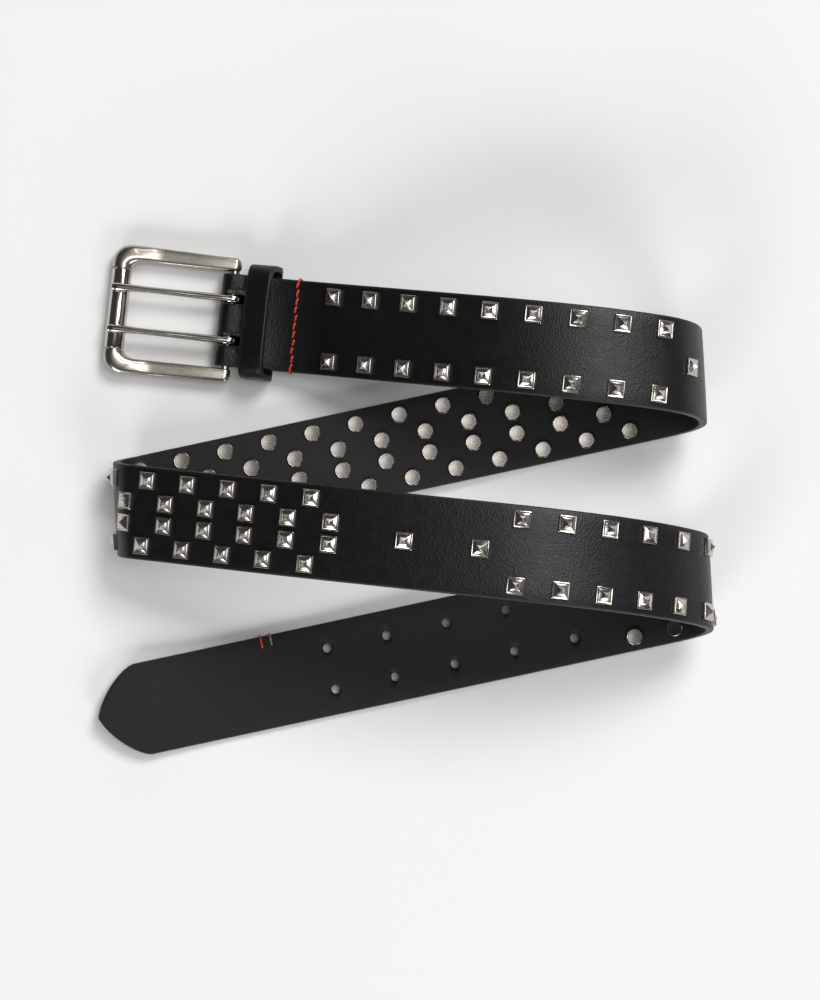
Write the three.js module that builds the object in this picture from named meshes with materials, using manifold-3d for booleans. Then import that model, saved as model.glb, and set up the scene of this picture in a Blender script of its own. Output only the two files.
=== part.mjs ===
// Studded leather belt with a double-prong roller buckle, laid down in loose loops.
// Millimetres, +Z up. The strap is one bent ribbon: it climbs from the buckle over a crown, turns
// under itself on the right, runs back on its studs, turns up on the left, climbs over a second
// crown and ends in a tail that lies flat. Every piece on the strap is placed by its distance along
// the leather, its distance across it and its height off the leather's middle.
import * as THREE from 'three';
import { mergeVertices } from 'three/addons/utils/BufferGeometryUtils.js';
import Module from 'manifold-3d';

const wasm = await Module();
wasm.setup();

// Strap
const strapLength = 1022.8;
const strapWidth = 38;
const strapThickness = 3.5;
const pointLength = 18.5;
const pointSharpness = 1.45;
const pointRoundness = 0.75;
const pointStations = [0.82, 0.64, 0.47, 0.32, 0.19, 0.09, 0.03];

// Turn-back round the heel bar, pared thinner than the strap
const foldThickness = 2.4;
const turnBackLength = 31.5;
const turnBackRise = 10;
const turnBackRiseSteps = 5;
const turnBackBendSteps = 4;
const paringStart = 4;
const paringEnd = 12;
const layerGap = 0.3;

// Coil: the rulings' angle to the strap, and how far the whole belt is turned on the table
const coilAngle = THREE.MathUtils.degToRad(9.05);
const beltTurn = THREE.MathUtils.degToRad(3);
const seatGap = 0.3;

// Buckle frame
const heelHeight = 5.8;
const heelBarDiameter = 4;
const heelBarClearance = 0.25;
const frameReach = 46.4;
const frameInnerWidth = 40;
const sideBarFrontWidth = 6.8;
const sideBarHeelWidth = 5.7;
const sideBarThickness = 5;
const frontBarDiameter = 8.6;
const cornerRadius = 8;
const innerFilletLength = 5.6;
const knuckleLength = 2.7;
const cornerSteps = 6;
const cornerThinning = 0.8;
const seamRoundness = 1;
const cornerRoundness = 0.55;
const sideBarRoundness = 0.45;
const knuckleRoundness = 0.6;
const knuckleStations = [0.45, 0.8, 0.97];
const knuckleEndThickness = 0.35;
const knuckleInnerTrim = 0.5;
const rollerDiameter = 8.2;
const rollerLength = 33.4;
const rollerPinDiameter = 5.2;
const rollerPinClearance = 0.3;

// Prongs
const prongSpacing = 17.2;
const prongThickness = 2.6;
const prongHeelThickness = 3.1;
const prongEyeWidth = 3.2;
const prongTipAngle = THREE.MathUtils.degToRad(18);
const prongEndShrink = 0.9;
const prongNoseShrink = 0.3;
const prongEyeChamfer = 0.6;
// Shaft stations: share of the way to the roller, rise from the eye to the roller's top, and size
const prongShaft = [
  { share: 0, rise: 0, size: 0 },
  { share: 0.11, rise: 0.05, size: 1 },
  { share: 0.28, rise: 0.19, size: 0.75 },
  { share: 0.6, rise: 0.74, size: 0 },
  { share: 0.9, rise: 0.98, size: 0 },
];
const slotClearance = 0.4;
const slotReach = 7.5;

// Keeper
const keeperWidth = 11;
const keeperThickness = 2.5;
const keeperSideGap = 2.15;
const keeperTopRise = 5;
const keeperSag = 0.8;
const keeperPlace = 14.2;
const keeperShift = 3.4;
const keeperLean = THREE.MathUtils.degToRad(28);
const keeperMiddleRise = 0.85;
const keeperSquareness = 1 / 3;
const keeperSteps = 36;

// Studs
const studSide = 7;
const studHeight = 3;
const studSkirt = 1;
const studShankDiameter = 2.4;
const studHoleDiameter = 3;
const capDiameter = 7;
const capRim = 0.4;
const capHeight = 0.9;
const studInset = 5.8;
const studPitch = 17.7;
const pairsPerRow = 9;
const firstRowStart = 45.2;
const middlePitch = 30.4;
const firstMiddleStart = 201.5;

// Patterned field of studs between the two rows, fused to the leather
const fieldStart = 262;
const fieldPitch = 9.15;
const fieldColumns = 36;
const fieldInnerRow = 4.4;
const fieldSink = 0.7;

// The single studs and the rows after the field
const fieldToMiddle = 30.6;
const middleToRow = 15.2;
const secondMiddleStart = fieldStart + (fieldColumns - 1) * fieldPitch + fieldToMiddle;
const secondRowStart = secondMiddleStart + middlePitch + middleToRow;

// Punched holes
const holeDiameter = 3.8;
const holePitch = 25.1;
const holeFromTip = 98;
const holePairs = 5;

// Facets: how far a flat facet may stray from the bend that it stands for
const facetSag = 0.11;
const roundSides = 16;
const smallSides = 8;
const barSides = 10;
const capSides = 6;
const shankSides = 4;
const foldSteps = 8;

// The strap's path. Each section turns by so many degrees over a share of the strap's length.
// A share of null is worked out, so that the next section marked with a height ends at that height.
const restHeight = studHeight + strapThickness / 2;
const sections = [
  { name: 'heel flat', share: 0.0137, turn: 0 },
  { name: 'lift', share: 0.0273, turn: 31 },
  { name: 'ramp', share: null, turn: 0 },
  { name: 'easing', share: 0.0391, turn: -9 },
  { name: 'crown', share: 0.0439, turn: -22 },
  { name: 'shoulder', share: 0.0332, turn: -22 },
  { name: 'outer bend', share: 0.0342, turn: -70 },
  { name: 'lower bend', share: 0.0221, turn: -82 },
  { name: 'settle', share: 0.0391, turn: -6, height: restHeight },
  { name: 'flat back', share: 0.1728, turn: 0 },
  { name: 'left bend', share: 0.0324, turn: -155.5 },
  { name: 'second ramp', share: null, turn: 0 },
  { name: 'second crown', share: 0.1033, turn: -21 },
  { name: 'second top', share: 0.0543, turn: -31.8 },
  { name: 'second shoulder', share: 0.035, turn: -23.1 },
  { name: 'second outer bend', share: 0.0247, turn: -70 },
  { name: 'second lower bend', share: 0.0181, turn: -52.6 },
  { name: 'second settle', share: 0.0391, turn: -6, height: restHeight },
  { name: 'stud rest', share: 0.0156, turn: 0 },
  { name: 'droop', share: 0.0293, turn: 2.6 },
  { name: 'drop', share: null, turn: 0 },
  { name: 'level', share: 0.0293, turn: -2.6, height: strapThickness / 2 },
];
const tipLiftLength = 40;
const tipLiftTurn = -7;

// Heights of the heel bar and of the strap's layers, measured from the strap's middle surface
const heelBarRadius = heelBarDiameter / 2;
const foldInnerRadius = heelBarRadius + heelBarClearance;
const foldOuterRadius = foldInnerRadius + foldThickness;
const heelDrop = foldOuterRadius - strapThickness / 2;
const strapStartHeight = heelHeight + heelDrop;
const turnBackTop = -strapThickness / 2 - layerGap;
const eyeInnerRadius = heelBarRadius + seatGap;
const eyeOuterRadius = eyeInnerRadius + prongThickness;

function sectionRise(length, start, turn) {
  const from = THREE.MathUtils.degToRad(start);
  const to = THREE.MathUtils.degToRad(start + turn);
  const mean = turn === 0 ? Math.sin(from) : (Math.cos(from) - Math.cos(to)) / (to - from);
  return Math.cos(coilAngle) * length * mean;
}

function pathSections() {
  const rows = [];
  let pitch = 0;
  let height = strapStartHeight;
  let open = null;
  for (const { name, share, turn, height: target } of sections) {
    const row = { name, start: pitch, turn, length: share === null ? null : share * strapLength };
    rows.push(row);
    pitch += turn;
    if (share === null) {
      open = row;
    } else {
      height += sectionRise(row.length, row.start, row.turn);
    }
    if (target !== undefined) {
      open.length = (target - height) / sectionRise(1, open.start, open.turn);
      height = target;
      open = null;
    }
  }
  const used = rows.reduce((sum, row) => sum + row.length, 0);
  const flat = strapLength - used - tipLiftLength - pointLength;
  rows.push({ name: 'tail', start: pitch, turn: 0, length: flat });
  rows.push({ name: 'tip lift', start: pitch, turn: tipLiftTurn, length: tipLiftLength });
  rows.push({ name: 'point', start: pitch + tipLiftTurn, turn: 0, length: pointLength });
  return rows;
}

// Path rows with their start place, and the start point of each in the plane across the rulings
function tracePath() {
  let place = 0;
  let across = 0;
  let height = strapStartHeight;
  return pathSections().map((row) => {
    const traced = {
      ...row,
      place,
      across,
      height,
      pitch: THREE.MathUtils.degToRad(row.start),
      bend: THREE.MathUtils.degToRad(row.turn) / row.length,
    };
    const end = alongRow(traced, row.length);
    place += row.length;
    across = end.across;
    height = end.height;
    return traced;
  });
}

function alongRow(row, distance) {
  const squeeze = Math.cos(coilAngle);
  const pitch = row.pitch + row.bend * distance;
  if (row.bend === 0) {
    return {
      pitch,
      across: row.across + squeeze * distance * Math.cos(pitch),
      height: row.height + squeeze * distance * Math.sin(pitch),
    };
  }
  return {
    pitch,
    across: row.across + (squeeze * (Math.sin(pitch) - Math.sin(row.pitch))) / row.bend,
    height: row.height + (squeeze * (Math.cos(row.pitch) - Math.cos(pitch))) / row.bend,
  };
}

const path = tracePath();
const acrossAxis = new THREE.Vector3(Math.cos(beltTurn), Math.sin(beltTurn), 0);
const rulingAxis = new THREE.Vector3(-Math.sin(beltTurn), Math.cos(beltTurn), 0);
const upAxis = new THREE.Vector3(0, 0, 1);

function rowAt(place) {
  let found = path[0];
  for (const row of path) {
    if (row.place <= place) {
      found = row;
    }
  }
  return found;
}

// Point and directions on the strap: place along the leather, side across it, lift off its middle
function strapFrame(place, side, lift) {
  const rolled = place + side * Math.tan(coilAngle);
  const row = rowAt(rolled);
  const { pitch, across, height } = alongRow(row, rolled - row.place);
  const forward = acrossAxis.clone().multiplyScalar(Math.cos(pitch)).addScaledVector(upAxis, Math.sin(pitch));
  const normal = acrossAxis.clone().multiplyScalar(-Math.sin(pitch)).addScaledVector(upAxis, Math.cos(pitch));
  const along = forward.clone().multiplyScalar(Math.cos(coilAngle));
  along.addScaledVector(rulingAxis, -Math.sin(coilAngle));
  const sideways = new THREE.Vector3().crossVectors(normal, along);
  const point = acrossAxis.clone().multiplyScalar(across).addScaledVector(upAxis, height);
  point.addScaledVector(rulingAxis, side / Math.cos(coilAngle) - rolled * Math.sin(coilAngle));
  point.addScaledVector(normal, lift);
  return { point, along, sideways, normal, bend: row.bend };
}

function strapPoint(place, side, lift) {
  return strapFrame(place, side, lift).point;
}

function strapMatrix(place, side, lift) {
  const { point, along, sideways, normal } = strapFrame(place, side, lift);
  return new THREE.Matrix4().makeBasis(along, sideways, normal).setPosition(point);
}

// Closed body through a row of point loops, each with the same number of points
function loft(loops, closed = false) {
  const sides = loops[0].length;
  const count = loops.length;
  const index = [];
  const spans = closed ? count : count - 1;
  for (let i = 0; i < spans; i++) {
    for (let j = 0; j < sides; j++) {
      const next = (j + 1) % sides;
      const near = i * sides;
      const far = ((i + 1) % count) * sides;
      index.push(near + j, near + next, far + next, near + j, far + next, far + j);
    }
  }
  if (!closed) {
    const last = (count - 1) * sides;
    for (let j = 1; j < sides - 1; j++) {
      index.push(0, j + 1, j, last, last + j, last + j + 1);
    }
  }
  const points = loops.flat();
  if (signedVolume(points, index) < 0) {
    index.reverse();
  }
  const geometry = new THREE.BufferGeometry().setFromPoints(points);
  geometry.setIndex(index);
  return geometry;
}

function signedVolume(points, index) {
  let total = 0;
  for (let i = 0; i < index.length; i += 3) {
    const [a, b, c] = [points[index[i]], points[index[i + 1]], points[index[i + 2]]];
    total += a.dot(new THREE.Vector3().crossVectors(b, c)) / 6;
  }
  return total;
}

function toSolid(geometry) {
  const bare = geometry.clone();
  bare.deleteAttribute('normal');
  bare.deleteAttribute('uv');
  const merged = mergeVertices(bare, 1e-4);
  return new wasm.Manifold(
    new wasm.Mesh({
      numProp: 3,
      vertProperties: new Float32Array(merged.attributes.position.array),
      triVerts: new Uint32Array(merged.index.array),
    }),
  );
}

function toGeometry(solid) {
  const { vertProperties, triVerts } = solid.getMesh();
  const geometry = new THREE.BufferGeometry();
  geometry.setAttribute('position', new THREE.BufferAttribute(new Float32Array(vertProperties), 3));
  geometry.setIndex(new THREE.BufferAttribute(new Uint32Array(triVerts), 1));
  geometry.computeVertexNormals();
  return geometry;
}

function joined(solids) {
  return solids.reduce((whole, solid) => whole.add(solid));
}

function cut(whole, solids) {
  return solids.reduce((left, solid) => left.subtract(solid), whole);
}

// Round bar along Z from one height to another
function roundBar(radius, from, to, sides) {
  const bar = new THREE.CylinderGeometry(radius, radius, to - from, sides);
  return bar.rotateX(Math.PI / 2).translate(0, 0, (from + to) / 2);
}

function smoothStep(value) {
  const t = THREE.MathUtils.clamp(value, 0, 1);
  return t * t * (3 - 2 * t);
}

// Half the strap's width at a distance from its tip
function halfWidthAt(fromTip) {
  const share = THREE.MathUtils.clamp(fromTip / pointLength, 0, 1);
  return (strapWidth / 2) * (1 - (1 - share) ** pointSharpness) ** pointRoundness;
}

// How far the strap's stations follow the slanted rulings: not at the heel, not at the point
function slantAt(place) {
  const fromHeel = (place - paringStart) / (paringEnd - paringStart);
  const fromPoint = (strapLength - pointLength - place) / pointLength;
  return THREE.MathUtils.clamp(Math.min(fromHeel, fromPoint), 0, 1);
}

function strapStation(place, outer, inner) {
  const half = halfWidthAt(strapLength - place);
  const slant = slantAt(place) * Math.tan(coilAngle);
  const corner = (side, lift) => strapPoint(place - side * slant, side, lift);
  return [corner(half, outer), corner(-half, outer), corner(-half, inner), corner(half, inner)];
}

// Places of the strap's stations: the ends of its sections, and steps through each bend
function strapPlaces() {
  const places = [paringStart, paringEnd];
  for (const row of path.slice(0, -1)) {
    const bend = Math.abs(row.bend);
    const steps = Math.max(1, Math.ceil((bend * row.length) / Math.sqrt(8 * facetSag * bend || 1)));
    for (let i = 1; i <= steps; i++) {
      places.push(row.place + (row.length * i) / steps);
    }
  }
  places.push(...pointStations.map((share) => strapLength - share * pointLength));
  return [...new Set(places)].sort((a, b) => a - b);
}

function innerLiftAt(place) {
  const pared = 1 - (place - paringStart) / (paringEnd - paringStart);
  const paring = THREE.MathUtils.clamp(pared, 0, 1) * (strapThickness - foldThickness);
  return paring - strapThickness / 2;
}

// The strap's stations, from the tip to the heel, round the heel bar and along the turn-back
function strapStations() {
  const top = strapThickness / 2;
  const run = strapPlaces().reverse().map((place) => strapStation(place, top, innerLiftAt(place)));
  const half = strapWidth / 2;
  const fold = [];
  for (let i = 0; i <= foldSteps; i++) {
    const angle = Math.PI / 2 + (Math.PI * i) / foldSteps;
    const corner = (side, radius) =>
      strapPoint(radius * Math.cos(angle), side, radius * Math.sin(angle) - heelDrop);
    fold.push([
      corner(half, foldOuterRadius),
      corner(-half, foldOuterRadius),
      corner(-half, foldInnerRadius),
      corner(half, foldInnerRadius),
    ]);
  }
  const rise = turnBackTop + heelDrop + foldInnerRadius;
  const bent = path.find((row) => row.name === 'lift');
  const bentStep = bent.length / turnBackBendSteps;
  const backPlaces = [paringEnd];
  for (let i = 1; i <= turnBackRiseSteps; i++) {
    backPlaces.push((turnBackRise * i) / turnBackRiseSteps);
  }
  for (let place = bent.place; place < turnBackLength; place += bentStep) {
    backPlaces.push(place);
  }
  backPlaces.push(turnBackLength);
  backPlaces.sort((a, b) => a - b);
  const back = backPlaces.map((place) => {
    const inner = turnBackTop - rise * (1 - smoothStep(place / turnBackRise));
    return strapStation(place, inner - foldThickness, inner);
  });
  return [...run, ...fold, ...back];
}

// Pyramid head of a stud, standing on z = 0, reaching a sink depth below it
function studHead(sink) {
  const square = (side, z) => {
    const h = side / 2;
    const corners = [[h, h], [-h, h], [-h, -h], [h, -h]];
    return corners.map(([x, y]) => new THREE.Vector3(x, y, z));
  };
  const apex = [0, 0, 0, 0].map(() => new THREE.Vector3(0, 0, studHeight));
  return loft([square(studSide, -sink), square(studSide, studSkirt), apex]);
}

// Low round cap on the strap's back, hanging below z = 0, reaching a sink height above it
function studCap(sink) {
  const radius = capDiameter / 2;
  const profile = [
    new THREE.Vector2(0, -capHeight),
    new THREE.Vector2(radius, -capRim),
    new THREE.Vector2(radius, sink),
    new THREE.Vector2(0, sink),
  ];
  return new THREE.LatheGeometry(profile, capSides).rotateX(Math.PI / 2);
}

// A stud of its own: head, shank through the leather, and cap on the back
function studGeometry(bend) {
  const half = strapThickness / 2;
  const hollow = ((capDiameter / 2) ** 2 * Math.abs(bend)) / 2 / (1 - Math.abs(bend) * half);
  const front = half + seatGap;
  const back = -half - seatGap - hollow;
  const head = studHead(0).translate(0, 0, front);
  const cap = studCap(0).translate(0, 0, back);
  const shank = roundBar(studShankDiameter / 2, back - capRim / 2, front + studSkirt / 2, shankSides);
  return toGeometry(joined([head, shank, cap].map(toSolid)));
}

// Places of the studs that are pieces of their own
function studPlaces() {
  const row = strapWidth / 2 - studInset;
  const places = [];
  for (const [number, start] of [firstRowStart, secondRowStart].entries()) {
    for (let i = 0; i < pairsPerRow; i++) {
      const place = start + i * studPitch;
      places.push({ name: `stud_row${number + 1}_upper_${i + 1}`, place, side: row });
      places.push({ name: `stud_row${number + 1}_lower_${i + 1}`, place, side: -row });
    }
  }
  for (const [number, start] of [firstMiddleStart, secondMiddleStart].entries()) {
    for (let i = 0; i < 2; i++) {
      places.push({ name: `stud_middle_${2 * number + i + 1}`, place: start + i * middlePitch, side: 0 });
    }
  }
  return places;
}

// Places of the field's studs: an outer pair and an inner pair by turns, which make open diamonds
function fieldPlaces() {
  const outerRow = strapWidth / 2 - studInset;
  const places = [];
  for (let i = 0; i < fieldColumns; i++) {
    const row = i % 2 === 0 ? outerRow : fieldInnerRow;
    const place = fieldStart + i * fieldPitch;
    places.push({ place, side: row }, { place, side: -row });
  }
  return places;
}

function punch(place, side, diameter, sides) {
  const reach = strapThickness;
  return toSolid(roundBar(diameter / 2, -reach, reach, sides).applyMatrix4(strapMatrix(place, side, 0)));
}

function holePunches() {
  const punches = [];
  for (let i = 0; i < holePairs; i++) {
    const place = strapLength - holeFromTip - i * holePitch;
    punches.push(punch(place, prongSpacing / 2, holeDiameter, smallSides));
    punches.push(punch(place, -prongSpacing / 2, holeDiameter, smallSides));
  }
  return punches;
}

// Slots for the prongs' eyes: round the heel bar, and on along the strap's outer layer
function slotCutters() {
  const eyeReach = eyeOuterRadius + seatGap;
  const width = prongEyeWidth + 2 * slotClearance;
  const floor = -heelDrop / 2;
  const length = slotReach - width / 2;
  const cutters = [];
  for (const side of [prongSpacing / 2, -prongSpacing / 2]) {
    const round = new THREE.CylinderGeometry(eyeReach, eyeReach, width, roundSides);
    cutters.push(toSolid(round.applyMatrix4(strapMatrix(0, side, -heelDrop))));
    const run = new THREE.BoxGeometry(length, width, strapThickness - floor);
    run.translate(length / 2, 0, (strapThickness + floor) / 2);
    cutters.push(toSolid(run.applyMatrix4(strapMatrix(0, side, 0))));
    const end = roundBar(width / 2, floor, strapThickness, smallSides).translate(length, 0, 0);
    cutters.push(toSolid(end.applyMatrix4(strapMatrix(0, side, 0))));
  }
  return cutters;
}

function strapGeometry() {
  const ribbon = toSolid(loft(strapStations()));
  const studHoles = studPlaces().map(({ place, side }) => punch(place, side, studHoleDiameter, shankSides));
  const bare = cut(ribbon, [...studHoles, ...holePunches(), ...slotCutters()]);
  const half = strapThickness / 2;
  const field = fieldPlaces().flatMap(({ place, side }) => {
    const frame = strapMatrix(place, side, 0);
    const head = studHead(fieldSink).translate(0, 0, half).applyMatrix4(frame);
    const cap = studCap(fieldSink).translate(0, 0, -half).applyMatrix4(frame);
    return [toSolid(head), toSolid(cap)];
  });
  return toGeometry(joined([bare, ...field]));
}

// Keeper: a leather band round both layers, arched over the strap and leaning to the buckle
function keeperGeometry() {
  const pairBottom = turnBackTop - foldThickness;
  const top = strapThickness / 2 + seatGap + keeperThickness / 2 + keeperTopRise;
  const bottom = pairBottom - seatGap - keeperThickness / 2 - keeperSag;
  const middle = (strapThickness / 2 + pairBottom) / 2 + keeperMiddleRise;
  const half = strapWidth / 2 + keeperSideGap + keeperThickness / 2;
  const centre = (angle) => {
    const sine = Math.sin(angle);
    const cosine = Math.cos(angle);
    const reach = sine > 0 ? top - middle : middle - bottom;
    const lift = middle + Math.sign(sine) * Math.abs(sine) ** keeperSquareness * reach;
    const share = THREE.MathUtils.clamp((lift - middle) / (top - middle), 0, 1);
    return {
      lean: keeperLean * share,
      point: new THREE.Vector3(
        keeperPlace - keeperShift * share,
        Math.sign(cosine) * Math.abs(cosine) ** keeperSquareness * half,
        lift,
      ),
    };
  };
  const nudge = 0.02;
  const loops = [];
  for (let i = 0; i < keeperSteps; i++) {
    const angle = evenAngle((i + 0.5) / keeperSteps);
    const { lean, point } = centre(angle);
    const tangent = centre(angle + nudge).point.sub(centre(angle - nudge).point);
    tangent.x = 0;
    const along = new THREE.Vector3(Math.cos(lean), 0, Math.sin(lean)).multiplyScalar(keeperWidth / 2);
    const out = new THREE.Vector3().crossVectors(tangent, along).setLength(keeperThickness / 2);
    const corner = (a, b) => point.clone().addScaledVector(along, a).addScaledVector(out, b);
    loops.push([corner(1, 1), corner(-1, 1), corner(-1, -1), corner(1, -1)]);
  }
  return loft(loops, true).applyMatrix4(strapMatrix(0, 0, 0));
}

// Angles that crowd towards the keeper's corners, where its outline turns
function evenAngle(share) {
  const turns = share * 4;
  const quarter = Math.floor(turns);
  const t = turns - quarter;
  const eased = t < 0.5 ? 4 * t ** 3 : 1 - 4 * (1 - t) ** 3;
  return (quarter + eased) * (Math.PI / 2);
}

// Oval or boxy section between an inner and an outer point of a side bar
function barSection({ inner, outer, thickness, roundness }) {
  const points = [];
  const sides = barSides;
  const centre = new THREE.Vector2().addVectors(inner, outer).multiplyScalar(0.5);
  const reach = new THREE.Vector2().subVectors(outer, inner).multiplyScalar(0.5);
  for (let i = 0; i < sides; i++) {
    const angle = ((i + 0.5) / sides) * 2 * Math.PI;
    const u = Math.sign(Math.cos(angle)) * Math.abs(Math.cos(angle)) ** roundness;
    const w = Math.sign(Math.sin(angle)) * Math.abs(Math.sin(angle)) ** roundness;
    points.push(new THREE.Vector3(centre.x + reach.x * u, centre.y + reach.y * u, (thickness / 2) * w));
  }
  return points;
}

// Half of the buckle frame: from the roller's end round the corner to the knuckle at the heel
function sideBar() {
  const inner = frameInnerWidth / 2;
  const seam = rollerLength / 2 + seatGap;
  const frontRadius = frontBarDiameter / 2;
  const outerX = frameReach + frontRadius;
  const outerWidth = (x) => {
    const share = THREE.MathUtils.clamp(x / (outerX - cornerRadius), 0, 1);
    return inner + THREE.MathUtils.lerp(sideBarHeelWidth, sideBarFrontWidth, share);
  };
  const sectionsOfBar = [
    {
      inner: new THREE.Vector2(frameReach - frontRadius, seam),
      outer: new THREE.Vector2(outerX, seam),
      thickness: frontBarDiameter,
      roundness: seamRoundness,
    },
  ];
  const filletStart = frameReach - frontRadius - innerFilletLength;
  const cornerY = outerWidth(outerX) - cornerRadius;
  for (let i = 1; i <= cornerSteps; i++) {
    const share = i / cornerSteps;
    const angle = (share * Math.PI) / 2;
    sectionsOfBar.push({
      inner: new THREE.Vector2(
        filletStart + innerFilletLength * Math.cos(angle),
        seam + (inner - seam) * Math.sin(angle),
      ),
      outer: new THREE.Vector2(
        outerX - cornerRadius + cornerRadius * Math.cos(angle),
        cornerY + cornerRadius * Math.sin(angle),
      ),
      thickness: THREE.MathUtils.lerp(frontBarDiameter, sideBarThickness, smoothStep(share) * cornerThinning),
      roundness: THREE.MathUtils.lerp(seamRoundness, cornerRoundness, share),
    });
  }
  for (const x of [filletStart - innerFilletLength, filletStart / 2, 0]) {
    sectionsOfBar.push({
      inner: new THREE.Vector2(x, inner),
      outer: new THREE.Vector2(x, outerWidth(x)),
      thickness: sideBarThickness,
      roundness: sideBarRoundness,
    });
  }
  for (const share of knuckleStations) {
    const shrink = Math.sqrt(1 - share ** 2);
    const trim = (sideBarHeelWidth / 2) * (1 - shrink);
    sectionsOfBar.push({
      inner: new THREE.Vector2(-knuckleLength * share, inner + trim * knuckleInnerTrim),
      outer: new THREE.Vector2(-knuckleLength * share, outerWidth(0) - trim),
      thickness: sideBarThickness * Math.max(shrink, knuckleEndThickness),
      roundness: knuckleRoundness,
    });
  }
  return loft(sectionsOfBar.map(barSection));
}

function mirrored(geometry) {
  const copy = geometry.clone().scale(1, -1, 1);
  const flipped = Array.from(copy.index.array).reverse();
  copy.setIndex(flipped);
  return copy;
}

function crossBar(radius, length, x, sides) {
  return new THREE.CylinderGeometry(radius, radius, length, sides).translate(x, 0, 0);
}

function frameGeometry() {
  const bar = sideBar();
  const pinLength = rollerLength + 4 * seatGap;
  const heelLength = frameInnerWidth + sideBarHeelWidth;
  const pieces = [
    bar,
    mirrored(bar),
    crossBar(rollerPinDiameter / 2, pinLength, frameReach, roundSides),
    crossBar(heelBarRadius, heelLength, 0, roundSides),
  ];
  return toGeometry(joined(pieces.map(toSolid)));
}

function rollerGeometry() {
  const inner = rollerPinDiameter / 2 + rollerPinClearance;
  const outer = rollerDiameter / 2;
  const half = rollerLength / 2;
  const chamfer = 0.3;
  const profile = [
    new THREE.Vector2(inner, -half),
    new THREE.Vector2(outer - chamfer, -half),
    new THREE.Vector2(outer, chamfer - half),
    new THREE.Vector2(outer, half - chamfer),
    new THREE.Vector2(outer - chamfer, half),
    new THREE.Vector2(inner, half),
    new THREE.Vector2(inner, -half),
  ];
  return toGeometry(toSolid(new THREE.LatheGeometry(profile, roundSides)));
}

// A prong: an eye round the heel bar and a tapered bar whose tip bends down over the roller
function prongGeometry() {
  const half = prongEyeWidth / 2;
  const chamfer = prongEyeChamfer;
  const profile = [
    new THREE.Vector2(eyeInnerRadius, -half),
    new THREE.Vector2(eyeOuterRadius - chamfer, -half),
    new THREE.Vector2(eyeOuterRadius, chamfer - half),
    new THREE.Vector2(eyeOuterRadius, half - chamfer),
    new THREE.Vector2(eyeOuterRadius - chamfer, half),
    new THREE.Vector2(eyeInnerRadius, half),
    new THREE.Vector2(eyeInnerRadius, -half),
  ];
  const eye = new THREE.LatheGeometry(profile, roundSides);
  const thin = prongThickness / 2;
  const wide = prongHeelThickness / 2;
  const overRoller = rollerDiameter / 2 + seatGap + thin;
  const eyeMiddle = (eyeInnerRadius + eyeOuterRadius) / 2;
  const shaft = prongShaft.map(({ share, rise, size }) => ({
    x: share * frameReach,
    z: THREE.MathUtils.lerp(eyeMiddle, overRoller, rise),
    radius: THREE.MathUtils.lerp(thin, wide, size),
  }));
  for (const share of [0, 0.5, 1]) {
    const angle = share * prongTipAngle;
    shaft.push({
      x: frameReach + overRoller * Math.sin(angle),
      z: overRoller * Math.cos(angle),
      radius: share === 1 ? thin * prongEndShrink : thin,
    });
  }
  const end = prongTipAngle + thin / overRoller;
  shaft.push({
    x: frameReach + overRoller * Math.sin(end),
    z: overRoller * Math.cos(end),
    radius: thin * prongNoseShrink,
  });
  const loops = shaft.map(({ x, z, radius }, i) => {
    const before = shaft[Math.max(i - 1, 0)];
    const after = shaft[Math.min(i + 1, shaft.length - 1)];
    const slope = Math.atan2(after.z - before.z, after.x - before.x);
    const points = [];
    for (let j = 0; j < smallSides; j++) {
      const angle = ((j + 0.5) / smallSides) * 2 * Math.PI;
      const up = radius * Math.sin(angle);
      points.push(
        new THREE.Vector3(x - up * Math.sin(slope), radius * Math.cos(angle), z + up * Math.cos(slope)),
      );
    }
    return points;
  });
  return toGeometry(joined([toSolid(eye), toSolid(loft(loops))]));
}

function mesh(name, geometry, material) {
  const piece = new THREE.Mesh(geometry, material);
  piece.name = name;
  return piece;
}

const leather = new THREE.MeshStandardMaterial({ color: 0x141416, roughness: 0.55, metalness: 0 });
const nickel = new THREE.MeshStandardMaterial({ color: 0x9c968c, roughness: 0.3, metalness: 1 });
const steel = new THREE.MeshStandardMaterial({ color: 0xb4b0aa, roughness: 0.35, metalness: 1 });

const belt = new THREE.Group();
belt.add(mesh('strap', strapGeometry(), leather));
belt.add(mesh('keeper_loop', keeperGeometry(), leather));
for (const { name, place, side } of studPlaces()) {
  const stud = mesh(name, studGeometry(strapFrame(place, side, 0).bend), steel);
  stud.applyMatrix4(strapMatrix(place, side, 0));
  belt.add(stud);
}

// The buckle lies on its front corners: its own X runs from the heel bar to the roller
const buckle = new THREE.Group();
const heel = strapFrame(0, 0, -heelDrop);
const toFront = heel.along.clone().negate();
const toSide = heel.sideways.clone().negate();
buckle.applyMatrix4(new THREE.Matrix4().makeBasis(toFront, toSide, heel.normal).setPosition(heel.point));
buckle.rotateY(Math.asin((heelHeight - frontBarDiameter / 2) / frameReach));
buckle.add(mesh('buckle_frame', frameGeometry(), nickel));
const roller = mesh('roller', rollerGeometry(), nickel);
roller.position.x = frameReach;
buckle.add(roller);
const upperProng = mesh('prong_upper', prongGeometry(), nickel);
upperProng.position.y = -prongSpacing / 2;
buckle.add(upperProng);
const lowerProng = mesh('prong_lower', prongGeometry(), nickel);
lowerProng.position.y = prongSpacing / 2;
buckle.add(lowerProng);
belt.add(buckle);

// The origin goes to the middle of the belt's footprint, on the table
belt.updateMatrixWorld(true);
const bounds = new THREE.Box3().setFromObject(belt, true);
const footprint = bounds.getCenter(new THREE.Vector3()).setZ(bounds.min.z);
belt.position.sub(footprint);

export default belt;
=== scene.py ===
"""Dressing of a studded leather belt that lies in loose loops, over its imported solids."""

from __future__ import annotations

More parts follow.
